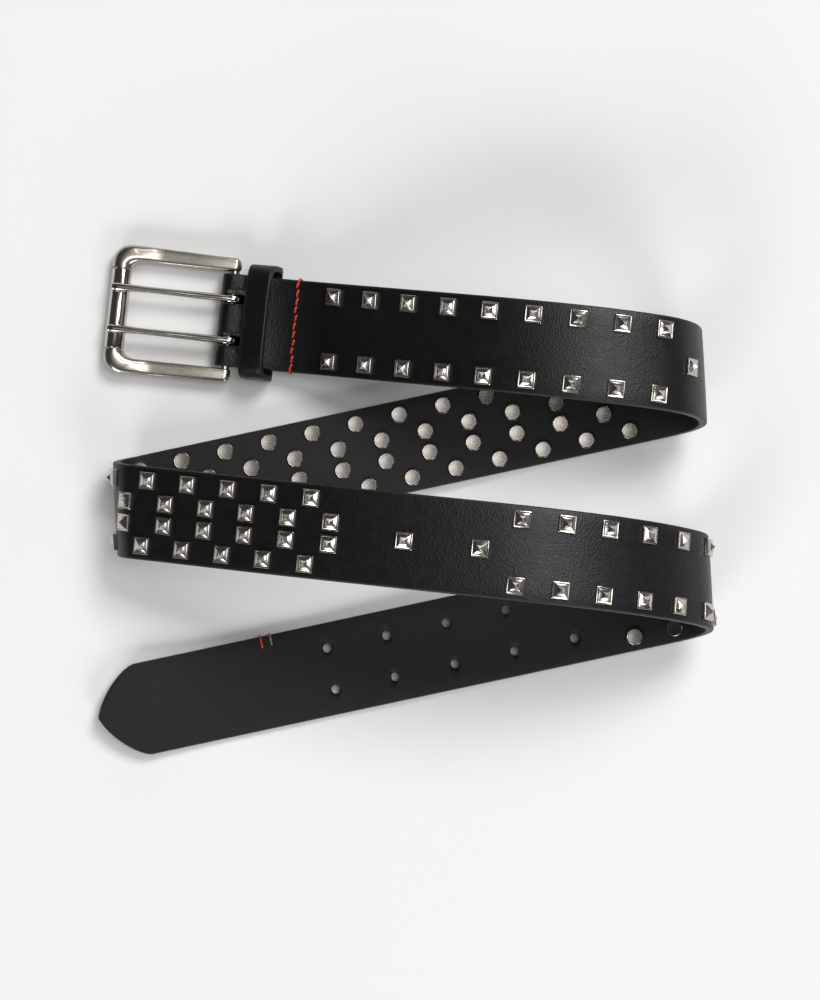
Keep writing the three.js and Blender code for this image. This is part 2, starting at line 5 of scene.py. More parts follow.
import logging
import math
from collections.abc import Callable, Iterable
from dataclasses import dataclass, field
from enum import Enum, IntEnum

import bmesh
import bpy
from mathutils import Matrix, Vector

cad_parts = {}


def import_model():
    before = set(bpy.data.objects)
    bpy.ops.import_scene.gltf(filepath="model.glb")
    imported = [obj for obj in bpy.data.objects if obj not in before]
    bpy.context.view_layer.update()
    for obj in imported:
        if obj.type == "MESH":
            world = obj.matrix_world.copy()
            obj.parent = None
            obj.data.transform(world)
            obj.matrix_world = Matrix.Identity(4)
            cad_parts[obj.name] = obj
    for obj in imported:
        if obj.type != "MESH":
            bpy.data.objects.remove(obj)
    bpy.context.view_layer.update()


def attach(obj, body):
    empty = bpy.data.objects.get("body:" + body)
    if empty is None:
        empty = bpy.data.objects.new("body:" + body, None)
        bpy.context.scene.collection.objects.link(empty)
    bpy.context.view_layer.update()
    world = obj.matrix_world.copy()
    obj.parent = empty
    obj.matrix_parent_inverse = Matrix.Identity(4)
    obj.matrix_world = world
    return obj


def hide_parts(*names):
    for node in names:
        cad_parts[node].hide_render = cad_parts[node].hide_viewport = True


LOG = logging.getLogger("belt")
METRES = 0.001


def srgb(colour: str) -> tuple[float, float, float, float]:
    """Turns an sRGB hex colour to linear.

    Args:
        colour: the colour, such as "#1a1b1d".

    Returns:
        Red, green, blue and alpha, linear.
    """
    parts = [int(colour[i : i + 2], 16) / 255 for i in (1, 3, 5)]
    linear = [c / 12.92 if c <= 0.04045 else ((c + 0.055) / 1.055) ** 2.4 for c in parts]
    return (linear[0], linear[1], linear[2], 1.0)


def per_mm(size: float) -> float:
    """Turns the size of one grain, in millimetres, to a pattern scale over millimetre coordinates."""
    return 1.0 / size


def add_node(
    tree: bpy.types.NodeTree, kind: str, inputs: dict | None = None, **settings: object
) -> bpy.types.Node:
    """Adds a shader node with its settings and links.

    Args:
        tree: the material's node tree.
        kind: the node's type.
        inputs: a value, or an output to link, for each named input.
        settings: the node's own settings.

    Returns:
        The new node.
    """
    node = tree.nodes.new(kind)
    for key, value in settings.items():
        setattr(node, key, value)
    for key, value in (inputs or {}).items():
        if isinstance(value, bpy.types.NodeSocket):
            tree.links.new(value, node.inputs[key])
        else:
            node.inputs[key].default_value = value
    return node


def ease(value: float) -> float:
    """Smooth step from 0 to 1."""
    t = min(max(value, 0.0), 1.0)
    return t * t * (3 - 2 * t)


def mix(a: float, b: float, share: float) -> float:
    """Value at a share of the way from a to b."""
    return a + (b - a) * share


def round_angles(count: int) -> list[float]:
    """Even angles once round a circle."""
    return [2 * math.pi * i / count for i in range(count)]


class Finish:
    """A finish that makes its own material from shader nodes over millimetre coordinates."""

    name = "finish"

    def material(self) -> bpy.types.Material:
        """Returns the finish's material, made once."""
        found = bpy.data.materials.get(self.name)
        if found:
            return found
        made = bpy.data.materials.new(self.name)
        made.use_nodes = True
        tree = made.node_tree
        tree.nodes.clear()
        shader = add_node(tree, "ShaderNodeBsdfPrincipled")
        add_node(tree, "ShaderNodeOutputMaterial", {"Surface": shader.outputs["BSDF"]})
        where = add_node(tree, "ShaderNodeTexCoord").outputs["UV"]
        self.dress(tree, shader, where)
        return made

    def dress(
        self, tree: bpy.types.NodeTree, shader: bpy.types.Node, where: bpy.types.NodeSocket
    ) -> None:
        """Adds the finish's nodes.

        Args:
            tree: the material's node tree.
            shader: its principled shader.
            where: the millimetre coordinates.
        """
        raise NotImplementedError


@dataclass(frozen=True)
class GrainLeather(Finish):
    """Full-grain cowhide, drum dyed black and glazed: a soft grey sheen broken up by fine pebbles."""

    name: str = "full_grain_cowhide"
    dye: str = "#060607"
    rubbed: str = "#0d0d0e"
    roughness: tuple[float, float] = (0.34, 0.46)
    # Real pores are 0.3 mm apart, drawn 0.65 mm apart so that they show in the render
    pebble: float = 0.65
    crease: float = 5.5
    cloud: float = 26.0
    pebble_depth: float = 0.16
    crease_depth: float = 0.07

    def dress(
        self, tree: bpy.types.NodeTree, shader: bpy.types.Node, where: bpy.types.NodeSocket
    ) -> None:
        """Adds pebbles, creases and a cloudy glaze."""
        pebbles = add_node(
            tree,
            "ShaderNodeTexVoronoi",
            {"Vector": where, "Scale": per_mm(self.pebble), "Randomness": 0.9},
            feature="SMOOTH_F1",
        )
        creases = add_node(
            tree,
            "ShaderNodeTexNoise",
            {"Vector": where, "Scale": per_mm(self.crease), "Detail": 6.0, "Roughness": 0.62},
        )
        clouds = add_node(
            tree,
            "ShaderNodeTexNoise",
            {"Vector": where, "Scale": per_mm(self.cloud), "Detail": 3.0},
        )
        tone = add_node(
            tree,
            "ShaderNodeMix",
            {"Factor": clouds.outputs["Fac"], "A": srgb(self.dye), "B": srgb(self.rubbed)},
            data_type="RGBA",
        )
        gloss = add_node(
            tree,
            "ShaderNodeMapRange",
            {
                "Value": creases.outputs["Fac"],
                "From Min": 0.3,
                "From Max": 0.7,
                "To Min": self.roughness[0],
                "To Max": self.roughness[1],
            },
        )
        wrinkled = add_node(
            tree,
            "ShaderNodeBump",
            {"Height": creases.outputs["Fac"], "Strength": 0.5, "Distance": self.crease_depth * METRES},
        )
        pebbled = add_node(
            tree,
            "ShaderNodeBump",
            {
                "Height": pebbles.outputs["Distance"],
                "Normal": wrinkled.outputs["Normal"],
                "Strength": 0.7,
                "Distance": self.pebble_depth * METRES,
            },
        )
        tree.links.new(tone.outputs["Result"], shader.inputs["Base Color"])
        tree.links.new(gloss.outputs["Result"], shader.inputs["Roughness"])
        tree.links.new(pebbled.outputs["Normal"], shader.inputs["Normal"])
        shader.inputs["IOR"].default_value = 1.45


@dataclass(frozen=True)
class FleshLeather(Finish):
    """The cowhide's flesh side, dyed through and buffed: matt, with fibres along the strap."""

    name: str = "buffed_flesh_side"
    dye: str = "#060505"
    fibre_tone: str = "#141110"
    roughness: float = 0.72
    nap: float = 0.25
    # Fibre bundles 0.5 mm wide and 4 mm long, as the buffing wheel leaves them
    bundle: float = 0.5
    bundle_stretch: float = 8.0
    mottle: float = 7.0

    def dress(
        self, tree: bpy.types.NodeTree, shader: bpy.types.Node, where: bpy.types.NodeSocket
    ) -> None:
        """Adds stretched fibres and a mottled tone."""
        stretched = add_node(
            tree,
            "ShaderNodeMapping",
            {"Vector": where, "Scale": (1 / self.bundle_stretch, 1.0, 1.0)},
        )
        fibres = add_node(
            tree,
            "ShaderNodeTexNoise",
            {"Vector": stretched.outputs["Vector"], "Scale": per_mm(self.bundle), "Detail": 4.0},
        )
        mottle = add_node(
            tree,
            "ShaderNodeTexNoise",
            {"Vector": where, "Scale": per_mm(self.mottle), "Detail": 8.0, "Roughness": 0.7},
        )
        both = add_node(
            tree,
            "ShaderNodeMath",
            {0: fibres.outputs["Fac"], 1: mottle.outputs["Fac"]},
            operation="MULTIPLY",
        )
        share = add_node(
            tree,
            "ShaderNodeMapRange",
            {"Value": both.outputs["Value"], "From Min": 0.15, "From Max": 0.42},
        )
        tone = add_node(
            tree,
            "ShaderNodeMix",
            {"Factor": share.outputs["Result"], "A": srgb(self.dye), "B": srgb(self.fibre_tone)},
            data_type="RGBA",
        )
        nap = add_node(
            tree,
            "ShaderNodeBump",
            {"Height": fibres.outputs["Fac"], "Strength": 0.6, "Distance": self.nap * METRES},
        )
        tree.links.new(tone.outputs["Result"], shader.inputs["Base Color"])
        tree.links.new(nap.outputs["Normal"], shader.inputs["Normal"])
        shader.inputs["Roughness"].default_value = self.roughness
        shader.inputs["IOR"].default_value = 1.45


@dataclass(frozen=True)
class PaintedEdge(Finish):
    """Cut edge, bevelled, painted black and burnished: half gloss, with the fibre layers just showing."""

    name: str = "painted_burnished_edge"
    paint: str = "#0c0c0d"
    bare: str = "#1e1a18"
    roughness: float = 0.5
    layer: float = 0.5
    layer_shrink: float = 0.12
    relief: float = 0.12

    def dress(
        self, tree: bpy.types.NodeTree, shader: bpy.types.Node, where: bpy.types.NodeSocket
    ) -> None:
        """Adds worn streaks along the edge."""
        stretched = add_node(
            tree, "ShaderNodeMapping", {"Vector": where, "Scale": (self.layer_shrink, 1.0, 1.0)}
        )
        streaks = add_node(
            tree,
            "ShaderNodeTexNoise",
            {"Vector": stretched.outputs["Vector"], "Scale": per_mm(self.layer), "Detail": 5.0},
        )
        share = add_node(
            tree,
            "ShaderNodeMapRange",
            {"Value": streaks.outputs["Fac"], "From Min": 0.5, "From Max": 0.75},
        )
        tone = add_node(
            tree,
            "ShaderNodeMix",
            {"Factor": share.outputs["Result"], "A": srgb(self.paint), "B": srgb(self.bare)},
            data_type="RGBA",
        )
        rough = add_node(
            tree,
            "ShaderNodeBump",
            {"Height": streaks.outputs["Fac"], "Strength": 0.5, "Distance": self.relief * METRES},
        )
        tree.links.new(tone.outputs["Result"], shader.inputs["Base Color"])
        tree.links.new(rough.outputs["Normal"], shader.inputs["Normal"])
        shader.inputs["Roughness"].default_value = self.roughness


@dataclass(frozen=True)
class Nickel(Finish):
    """Nickel plate over cast zinc. How it was rubbed down sets the roughness and the marks left in it."""

    name: str = "nickel_plate"
    plate: str = "#c4bfb7"
    tarnish: str = "#a39c92"
    roughness: tuple[float, float] = (0.2, 0.3)
    mark: float = 0.25
    mark_stretch: float = 20.0
    mark_depth: float = 0.02
    stain: float = 4.0

    def dress(
        self, tree: bpy.types.NodeTree, shader: bpy.types.Node, where: bpy.types.NodeSocket
    ) -> None:
        """Adds rubbing marks and a faint tarnish."""
        stretched = add_node(
            tree,
            "ShaderNodeMapping",
            {"Vector": where, "Scale": (1 / self.mark_stretch, 1.0, 1.0)},
        )
        marks = add_node(
            tree,
            "ShaderNodeTexNoise",
            {"Vector": stretched.outputs["Vector"], "Scale": per_mm(self.mark), "Detail": 3.0},
        )
        stain = add_node(
            tree,
            "ShaderNodeTexNoise",
            {"Vector": where, "Scale": per_mm(self.stain), "Detail": 4.0},
        )
        tone = add_node(
            tree,
            "ShaderNodeMix",
            {"Factor": stain.outputs["Fac"], "A": srgb(self.plate), "B": srgb(self.tarnish)},
            data_type="RGBA",
        )
        gloss = add_node(
            tree,
            "ShaderNodeMapRange",
            {
                "Value": marks.outputs["Fac"],
                "From Min": 0.3,
                "From Max": 0.7,
                "To Min": self.roughness[0],
                "To Max": self.roughness[1],
            },
        )
        scratched = add_node(
            tree,
            "ShaderNodeBump",
            {"Height": marks.outputs["Fac"], "Strength": 0.5, "Distance": self.mark_depth * METRES},
        )
        tree.links.new(tone.outputs["Result"], shader.inputs["Base Color"])
        tree.links.new(gloss.outputs["Result"], shader.inputs["Roughness"])
        tree.links.new(scratched.outputs["Normal"], shader.inputs["Normal"])
        shader.inputs["Metallic"].default_value = 1.0


@dataclass(frozen=True)
class Thread(Finish):
    """Bonded polyester thread, three-ply: a slight gloss, with the plies as slanting ridges."""

    name: str = "bonded_polyester"
    dye: str = "#e0452c"
    # Darker colour laid into the grooves between the plies: painted shade
    groove_shade: str = "#a8301f"
    roughness: float = 0.5
    ply: float = 0.55
    twist: float = 0.1

    def dress(
        self, tree: bpy.types.NodeTree, shader: bpy.types.Node, where: bpy.types.NodeSocket
    ) -> None:
        """Adds slanting plies, with painted shade in the grooves between them."""
        plies = add_node(
            tree,
            "ShaderNodeTexWave",
            {"Vector": where, "Scale": per_mm(self.ply) / (2 * math.pi), "Distortion": 0.4},
            bands_direction="DIAGONAL",
        )
        tone = add_node(
            tree,
            "ShaderNodeMix",
            {"Factor": plies.outputs["Fac"], "A": srgb(self.groove_shade), "B": srgb(self.dye)},
            data_type="RGBA",
        )
        twist = add_node(
            tree,
            "ShaderNodeBump",
            {"Height": plies.outputs["Fac"], "Strength": 0.7, "Distance": self.twist * METRES},
        )
        tree.links.new(tone.outputs["Result"], shader.inputs["Base Color"])
        tree.links.new(twist.outputs["Normal"], shader.inputs["Normal"])
        shader.inputs["Roughness"].default_value = self.roughness


GRAIN = GrainLeather()
# The same hide where it is squeezed between the heel bar and the keeper, crinkled and rubbed glossy
CREASED = GrainLeather(
    "creased_cowhide_at_fold", roughness=(0.2, 0.4), crease=1.7, crease_depth=0.75
)
FLESH = FleshLeather()
EDGE = PaintedEdge()
# Cast frame, satin from a wire brush run along the bars
SATIN = Nickel("satin_nickel_plate", "#bdb7ad", "#a59e93", (0.2, 0.3), 0.22, 30.0, 0.02)
# Turned and polished roller and prongs, with only faint marks
BRIGHT = Nickel("bright_nickel_plate", "#cdc8c0", "#b5aea4", (0.12, 0.15), 1.2, 6.0, 0.002)
# Stamped studs, tumbled bright, with the die's file marks left in the facets
STAMPED = Nickel("tumbled_nickel_stud", "#cfcac3", "#aaa49b", (0.13, 0.26), 0.3, 5.0, 0.02)
# Rivet caps on the back, duller from rubbing against clothes
CAPPED = Nickel("rubbed_nickel_cap", "#8f8b85", "#76716b", (0.2, 0.32), 0.35, 3.0, 0.01)
RED_THREAD = Thread()
# Its second, darker colour is painted shade in the grooves between the plies
GREY_THREAD = Thread("grey_polyester", "#8c8984", "#5d5a56")


class Side(IntEnum):
    """Material number of each kind of surface on the strap and its studs."""

    GRAIN = 0
    FLESH = 1
    EDGE = 2
    HEAD = 3
    CAP = 4
    CREASED = 5


# In the order of Side
STRAP_FINISHES = [GRAIN, FLESH, EDGE, STAMPED, CAPPED, CREASED]


class Layer(Enum):
    """A stretch of the leather: the long run, the fold round the heel bar, or the part turned back."""

    RUN = "run"
    FOLD = "fold"
    BACK = "turn-back"


@dataclass
class Shell:
    """A mesh under construction, in millimetres, with a material number and coordinates for each face."""

    points: list[Vector] = field(default_factory=list)
    faces: list[tuple[int, ...]] = field(default_factory=list)
    slots: list[int] = field(default_factory=list)
    places: list[list[tuple[float, float]]] = field(default_factory=list)

    def face(self, corners: Iterable[int], slot: int, places: list[tuple[float, float]]) -> None:
        """Adds one face."""
        self.faces.append(tuple(corners))
        self.slots.append(slot)
        self.places.append(places)

    def skin(
        self,
        rings: list[list[Vector]],
        slot_of: Callable[[int], int] = lambda column: 0,
        along: list[float] | None = None,
        around: list[float] | None = None,
        closed: bool = False,
        ends: bool = True,
        end_slot: int = 0,
    ) -> None:
        """Adds a tube of faces through rings of points.

        Args:
            rings: the rings, each with the same number of points.
            slot_of: the material number of each column of faces.
            along: the first coordinate of each ring, or None to measure it.
            around: the second coordinate of each point and of the first again, or None to measure it.
            closed: whether the last ring joins the first.
            ends: whether the first and last rings are filled.
            end_slot: the material number of the ends.
        """
        start = len(self.points)
        width = len(rings[0])
        centres = [sum(ring, Vector()) / width for ring in rings]
        if along is None:
            along = [0.0]
            for before, after in zip(centres, centres[1:] + centres[:1]):
                along.append(along[-1] + (after - before).length)
        if around is None:
            around = [0.0]
            fullest = max(rings, key=lambda ring: (ring[0] - ring[width // 2]).length)
            for before, after in zip(fullest, fullest[1:] + fullest[:1]):
                around.append(around[-1] + (after - before).length)
        for ring in rings:
            self.points.extend(ring)
        count = len(rings)
        for i in range(count if closed else count - 1):
            near = start + i * width
            far = start + ((i + 1) % count) * width
            for j in range(width):
                k = (j + 1) % width
                self.face(
                    (near + j, near + k, far + k, far + j),
                    slot_of(j),
                    [
                        (along[i], around[j]),
                        (along[i], around[j + 1]),
                        (along[i + 1], around[j + 1]),
                        (along[i + 1], around[j]),
                    ],
                )
        if ends and not closed:
            for i in (0, count - 1):
                corners = range(start + i * width, start + (i + 1) * width)
                self.face(corners, end_slot, [(along[i], v) for v in around[:width]])

    def add(self, other: Shell, place: Matrix | None = None) -> None:
        """Adds another shell, moved to a place."""
        start = len(self.points)
        self.points.extend(place @ p if place else p.copy() for p in other.points)
        for corners, slot, places in zip(other.faces, other.slots, other.places):
            self.face((start + c for c in corners), slot, places)

    def mesh(self, name: str, finishes: list[Finish], sharp: float = 40.0) -> bpy.types.Mesh:
        """Makes the Blender mesh, in metres.

        Args:
            name: the mesh's name.
            finishes: the finish of each material number.
            sharp: the angle in degrees above which an edge stays sharp.

        Returns:
            The mesh, with its normals outwards.
        """
        made = bpy.data.meshes.new(name)
        made.from_pydata([p * METRES for p in self.points], [], self.faces)
        layer = made.uv_layers.new(name="millimetres")
        for polygon, slot, places in zip(made.polygons, self.slots, self.places):
            polygon.material_index = slot
            for loop, place in zip(polygon.loop_indices, places):
                layer.data[loop].uv = place
        for finish in finishes:
            made.materials.append(finish.material())
        tidy = bmesh.new()
        tidy.from_mesh(made)
        bmesh.ops.remove_doubles(tidy, verts=tidy.verts, dist=1e-7)
        bmesh.ops.recalc_face_normals(tidy, faces=tidy.faces)
        tidy.to_mesh(made)
        tidy.free()
        made.shade_smooth()
        made.set_sharp_from_angle(angle=math.radians(sharp))
        return made


def show(
    name: str, mesh: bpy.types.Mesh, body: str, place: Matrix | None = None
) -> bpy.types.Object:
    """Puts a mesh in the scene as a piece that rides on a body.

    Args:
        name: the piece's name.
        mesh: its mesh.
        body: the body that it rides on.
        place: where it stands, in metres.

    Returns:
        The piece.
    """
    piece = bpy.data.objects.new(name, mesh)
    bpy.context.scene.collection.objects.link(piece)
    if place:
        piece.matrix_world = place
    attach(piece, body)
    LOG.info("%s: %d faces on %s", name, len(mesh.polygons), body)
    return piece


def in_metres(place: Matrix) -> Matrix:
    """The same place, from millimetres to metres."""
    moved = place.copy()
    moved.translation *= METRES
    return moved


@dataclass(frozen=True)
class Section:
    """A section of the strap's path: its share of the length, its turn, and its height at the end."""

    share: float | None
    turn: float
    height: float | None = None


@dataclass
class Row:
    """A traced section: where it starts along the strap and in the plane across the rulings."""

    place: float
    length: float
    pitch: float
    bend: float
    across: float
    height: float

    def at(self, distance: float, squeeze: float) -> tuple[float, float, float]:
        """Pitch, distance across and height at a distance into the row."""
        pitch = self.pitch + self.bend * distance
        if self.bend == 0:
            across = self.across + squeeze * distance * math.cos(pitch)
            return pitch, across, self.height + squeeze * distance * math.sin(pitch)
        across = self.across + squeeze * (math.sin(pitch) - math.sin(self.pitch)) / self.bend
        height = self.height + squeeze * (math.cos(self.pitch) - math.cos(pitch)) / self.bend
        return pitch, across, height


@dataclass
class StrapPath:
    """The bent ribbon that the leather follows, the same as in the part's source. Millimetres."""

    length: float = 1022.8
    width: float = 38.0
    thickness: float = 3.5
    point_length: float = 18.5
    point_sharpness: float = 1.45
    point_roundness: float = 0.75
    coil: float = math.radians(9.05)
    turn: float = math.radians(3.0)
    heel_height: float = 5.8
    heel_drop: float = 2.9
    stud_height: float = 3.0
    tip_lift_length: float = 40.0
    tip_lift_turn: float = -7.0
    origin: tuple[float, float] = (-73.071, 73.798)
    rows: list[Row] = field(default_factory=list)

    def __post_init__(self) -> None:
        """Traces the path."""
        rest = self.stud_height + self.thickness / 2
        flat = self.thickness / 2
        sections = [
            Section(0.0137, 0),
            Section(0.0273, 31),
            Section(None, 0),
            Section(0.0391, -9),
            Section(0.0439, -22),
            Section(0.0332, -22),
            Section(0.0342, -70),
            Section(0.0221, -82),
            Section(0.0391, -6, rest),
            Section(0.1728, 0),
            Section(0.0324, -155.5),
            Section(None, 0),
            Section(0.1033, -21),
            Section(0.0543, -31.8),
            Section(0.035, -23.1),
            Section(0.0247, -70),
            Section(0.0181, -52.6),
            Section(0.0391, -6, rest),
            Section(0.0156, 0),
            Section(0.0293, 2.6),
            Section(None, 0),
            Section(0.0293, -2.6, flat),
        ]
        self.across_axis = Vector((math.cos(self.turn), math.sin(self.turn), 0))
        self.ruling_axis = Vector((-math.sin(self.turn), math.cos(self.turn), 0))
        spans = self.solved(sections)
        used = sum(length for _, length, _ in spans)
        pitch = spans[-1][0] + spans[-1][2]
        flat_length = self.length - used - self.tip_lift_length - self.point_length
        spans.append((pitch, flat_length, 0.0))
        spans.append((pitch, self.tip_lift_length, self.tip_lift_turn))
        spans.append((pitch + self.tip_lift_turn, self.point_length, 0.0))
        place, across, height = 0.0, 0.0, self.heel_height + self.heel_drop
        for start, length, turn in spans:
            bend = math.radians(turn) / length
            row = Row(place, length, math.radians(start), bend, across, height)
            self.rows.append(row)
            _, across, height = row.at(length, math.cos(self.coil))
            place += length

    def rise(self, length: float, start: float, turn: float) -> float:
        """Height gained over a section."""
        low, high = math.radians(start), math.radians(start + turn)
        mean = math.sin(low) if turn == 0 else (math.cos(low) - math.cos(high)) / (high - low)
        return math.cos(self.coil) * length * mean

    def solved(self, sections: list[Section]) -> list[tuple[float, float, float]]:
        """Start pitch, length and turn of each section, with the open lengths worked out."""
        spans: list[tuple[float, float, float]] = []
        pitch, height, open_at = 0.0, self.heel_height + self.heel_drop, 0
        for section in sections:
            if section.share is None:
                open_at = len(spans)
                spans.append((pitch, 0.0, section.turn))
            else:
                length = section.share * self.length
                spans.append((pitch, length, section.turn))
                height += self.rise(length, pitch, section.turn)
            pitch += section.turn
            if section.height is not None:
                start, _, turn = spans[open_at]
                needed = (section.height - height) / self.rise(1.0, start, turn)
                spans[open_at] = (start, needed, turn)
                height = section.height
        return spans

    def frame(self, place: float, side: float, lift: float = 0.0) -> Matrix:
        """Place and directions on the strap, in millimetres.

        Args:
            place: distance along the leather from the heel bar.
            side: distance across it from its middle line.
            lift: height off its middle surface.

        Returns:
            A matrix whose X runs along the strap, Y across it and Z out of the grain side.
        """
        rolled = place + side * math.tan(self.coil)
        row = self.rows[0]
        for candidate in self.rows:
            if candidate.place <= rolled:
                row = candidate
        pitch, across, height = row.at(rolled - row.place, math.cos(self.coil))
        up = Vector((0, 0, 1))
        forward = self.across_axis * math.cos(pitch) + up * math.sin(pitch)
        normal = up * math.cos(pitch) - self.across_axis * math.sin(pitch)
        along = forward * math.cos(self.coil) - self.ruling_axis * math.sin(self.coil)
        sideways = normal.cross(along)
        shift = side / math.cos(self.coil) - rolled * math.sin(self.coil)
        point = self.across_axis * across + up * height + self.ruling_axis * shift
        point += normal * lift + Vector((*self.origin, 0))
        matrix = Matrix((along, sideways, normal)).transposed().to_4x4()
        matrix.translation = point
        return matrix

    def point(self, place: float, side: float, lift: float) -> Vector:
        """Point on the strap."""
        return self.frame(place, side, lift).translation.copy()

    def half_width(self, from_tip: float) -> float:
        """Half the strap's width at a distance from its tip."""
        share = min(max(from_tip / self.point_length, 0.0), 1.0)
        return self.width / 2 * (1 - (1 - share) ** self.point_sharpness) ** self.point_roundness


@dataclass
class StudShape:
    """Stamped pyramid stud and its riveted cap. Millimetres."""

    side: float = 7.0
    height: float = 3.0
    skirt: float = 1.0
    ledge: float = 0.62
    ridge: float = 0.05
    hollow: float = 1.3
    cap_diameter: float = 7.0
    # The solid's caps are 0.9 mm high
    cap_height: float = 0.8
    cap_dish: float = 0.14
    cap_sides: int = 28

    def head(self, sink: float) -> Shell:
        """Pyramid head that stands on z = 0 and reaches a sink depth below it."""
        half = self.side / 2
        base = half - self.ledge
        rise = self.height - self.skirt
        profile = [(-sink, half - 0.05), (self.skirt - 0.4, half), (self.skirt - 0.2, half - 0.05)]
        profile += [(self.skirt - 0.07, half - 0.16), (self.skirt, half - 0.33)]
        profile += [(self.skirt - 0.03, half - 0.48), (self.skirt - 0.1, base)]
        for share in (0.06, 0.15, 0.28, 0.42, 0.56, 0.7, 0.82, 0.91, 0.97):
            profile.append((self.skirt + rise * share**self.hollow, base * (1 - share)))
        profile.append((self.height - 0.02, base * 0.012))
        rings = []
        for z, reach in profile:
            cut = max(self.ridge, 0.06 * reach) if z < self.skirt + 0.01 else self.ridge
            cut = min(cut, reach * 0.4)
            corners = [(reach, reach - cut), (reach - cut, reach)]
            corners += [(cut - reach, reach), (-reach, reach - cut)]
            corners += [(-reach, cut - reach), (cut - reach, -reach)]
            corners += [(reach - cut, -reach), (reach, cut - reach)]
            rings.append([Vector((x, y, z)) for x, y in corners])
        shell = Shell()
        shell.skin(rings, lambda column: Side.HEAD, end_slot=Side.HEAD)
        self.flatten(shell)
        return shell

    def cap(self, sink: float) -> Shell:
        """Dished cap with a rolled rim that hangs below z = 0 and reaches a sink height above it."""
        radius = self.cap_diameter / 2
        profile = [(sink, radius - 0.05), (0.35 - self.cap_height, radius)]
        profile += [(0.1 - self.cap_height, radius - 0.1), (-self.cap_height, radius - 0.3)]
        profile.append((0.05 - self.cap_height, radius - 0.45))
        for share in (0.8, 0.65, 0.45, 0.25, 0.03):
            profile.append((self.cap_dish * (1 - share**2) - self.cap_height, radius * share))
        angles = round_angles(self.cap_sides)
        rings = []
        for z, reach in profile:
            rings.append([Vector((reach * math.cos(a), reach * math.sin(a), z)) for a in angles])
        shell = Shell()
        shell.skin(rings, lambda column: Side.CAP, end_slot=Side.CAP)
        self.flatten(shell)
        return shell

    @staticmethod
    def flatten(shell: Shell) -> None:
        """Lays the shell's coordinates out from above, so that file marks cross each facet."""
        for index, corners in enumerate(shell.faces):
            shell.places[index] = [(shell.points[c].x, shell.points[c].y) for c in corners]


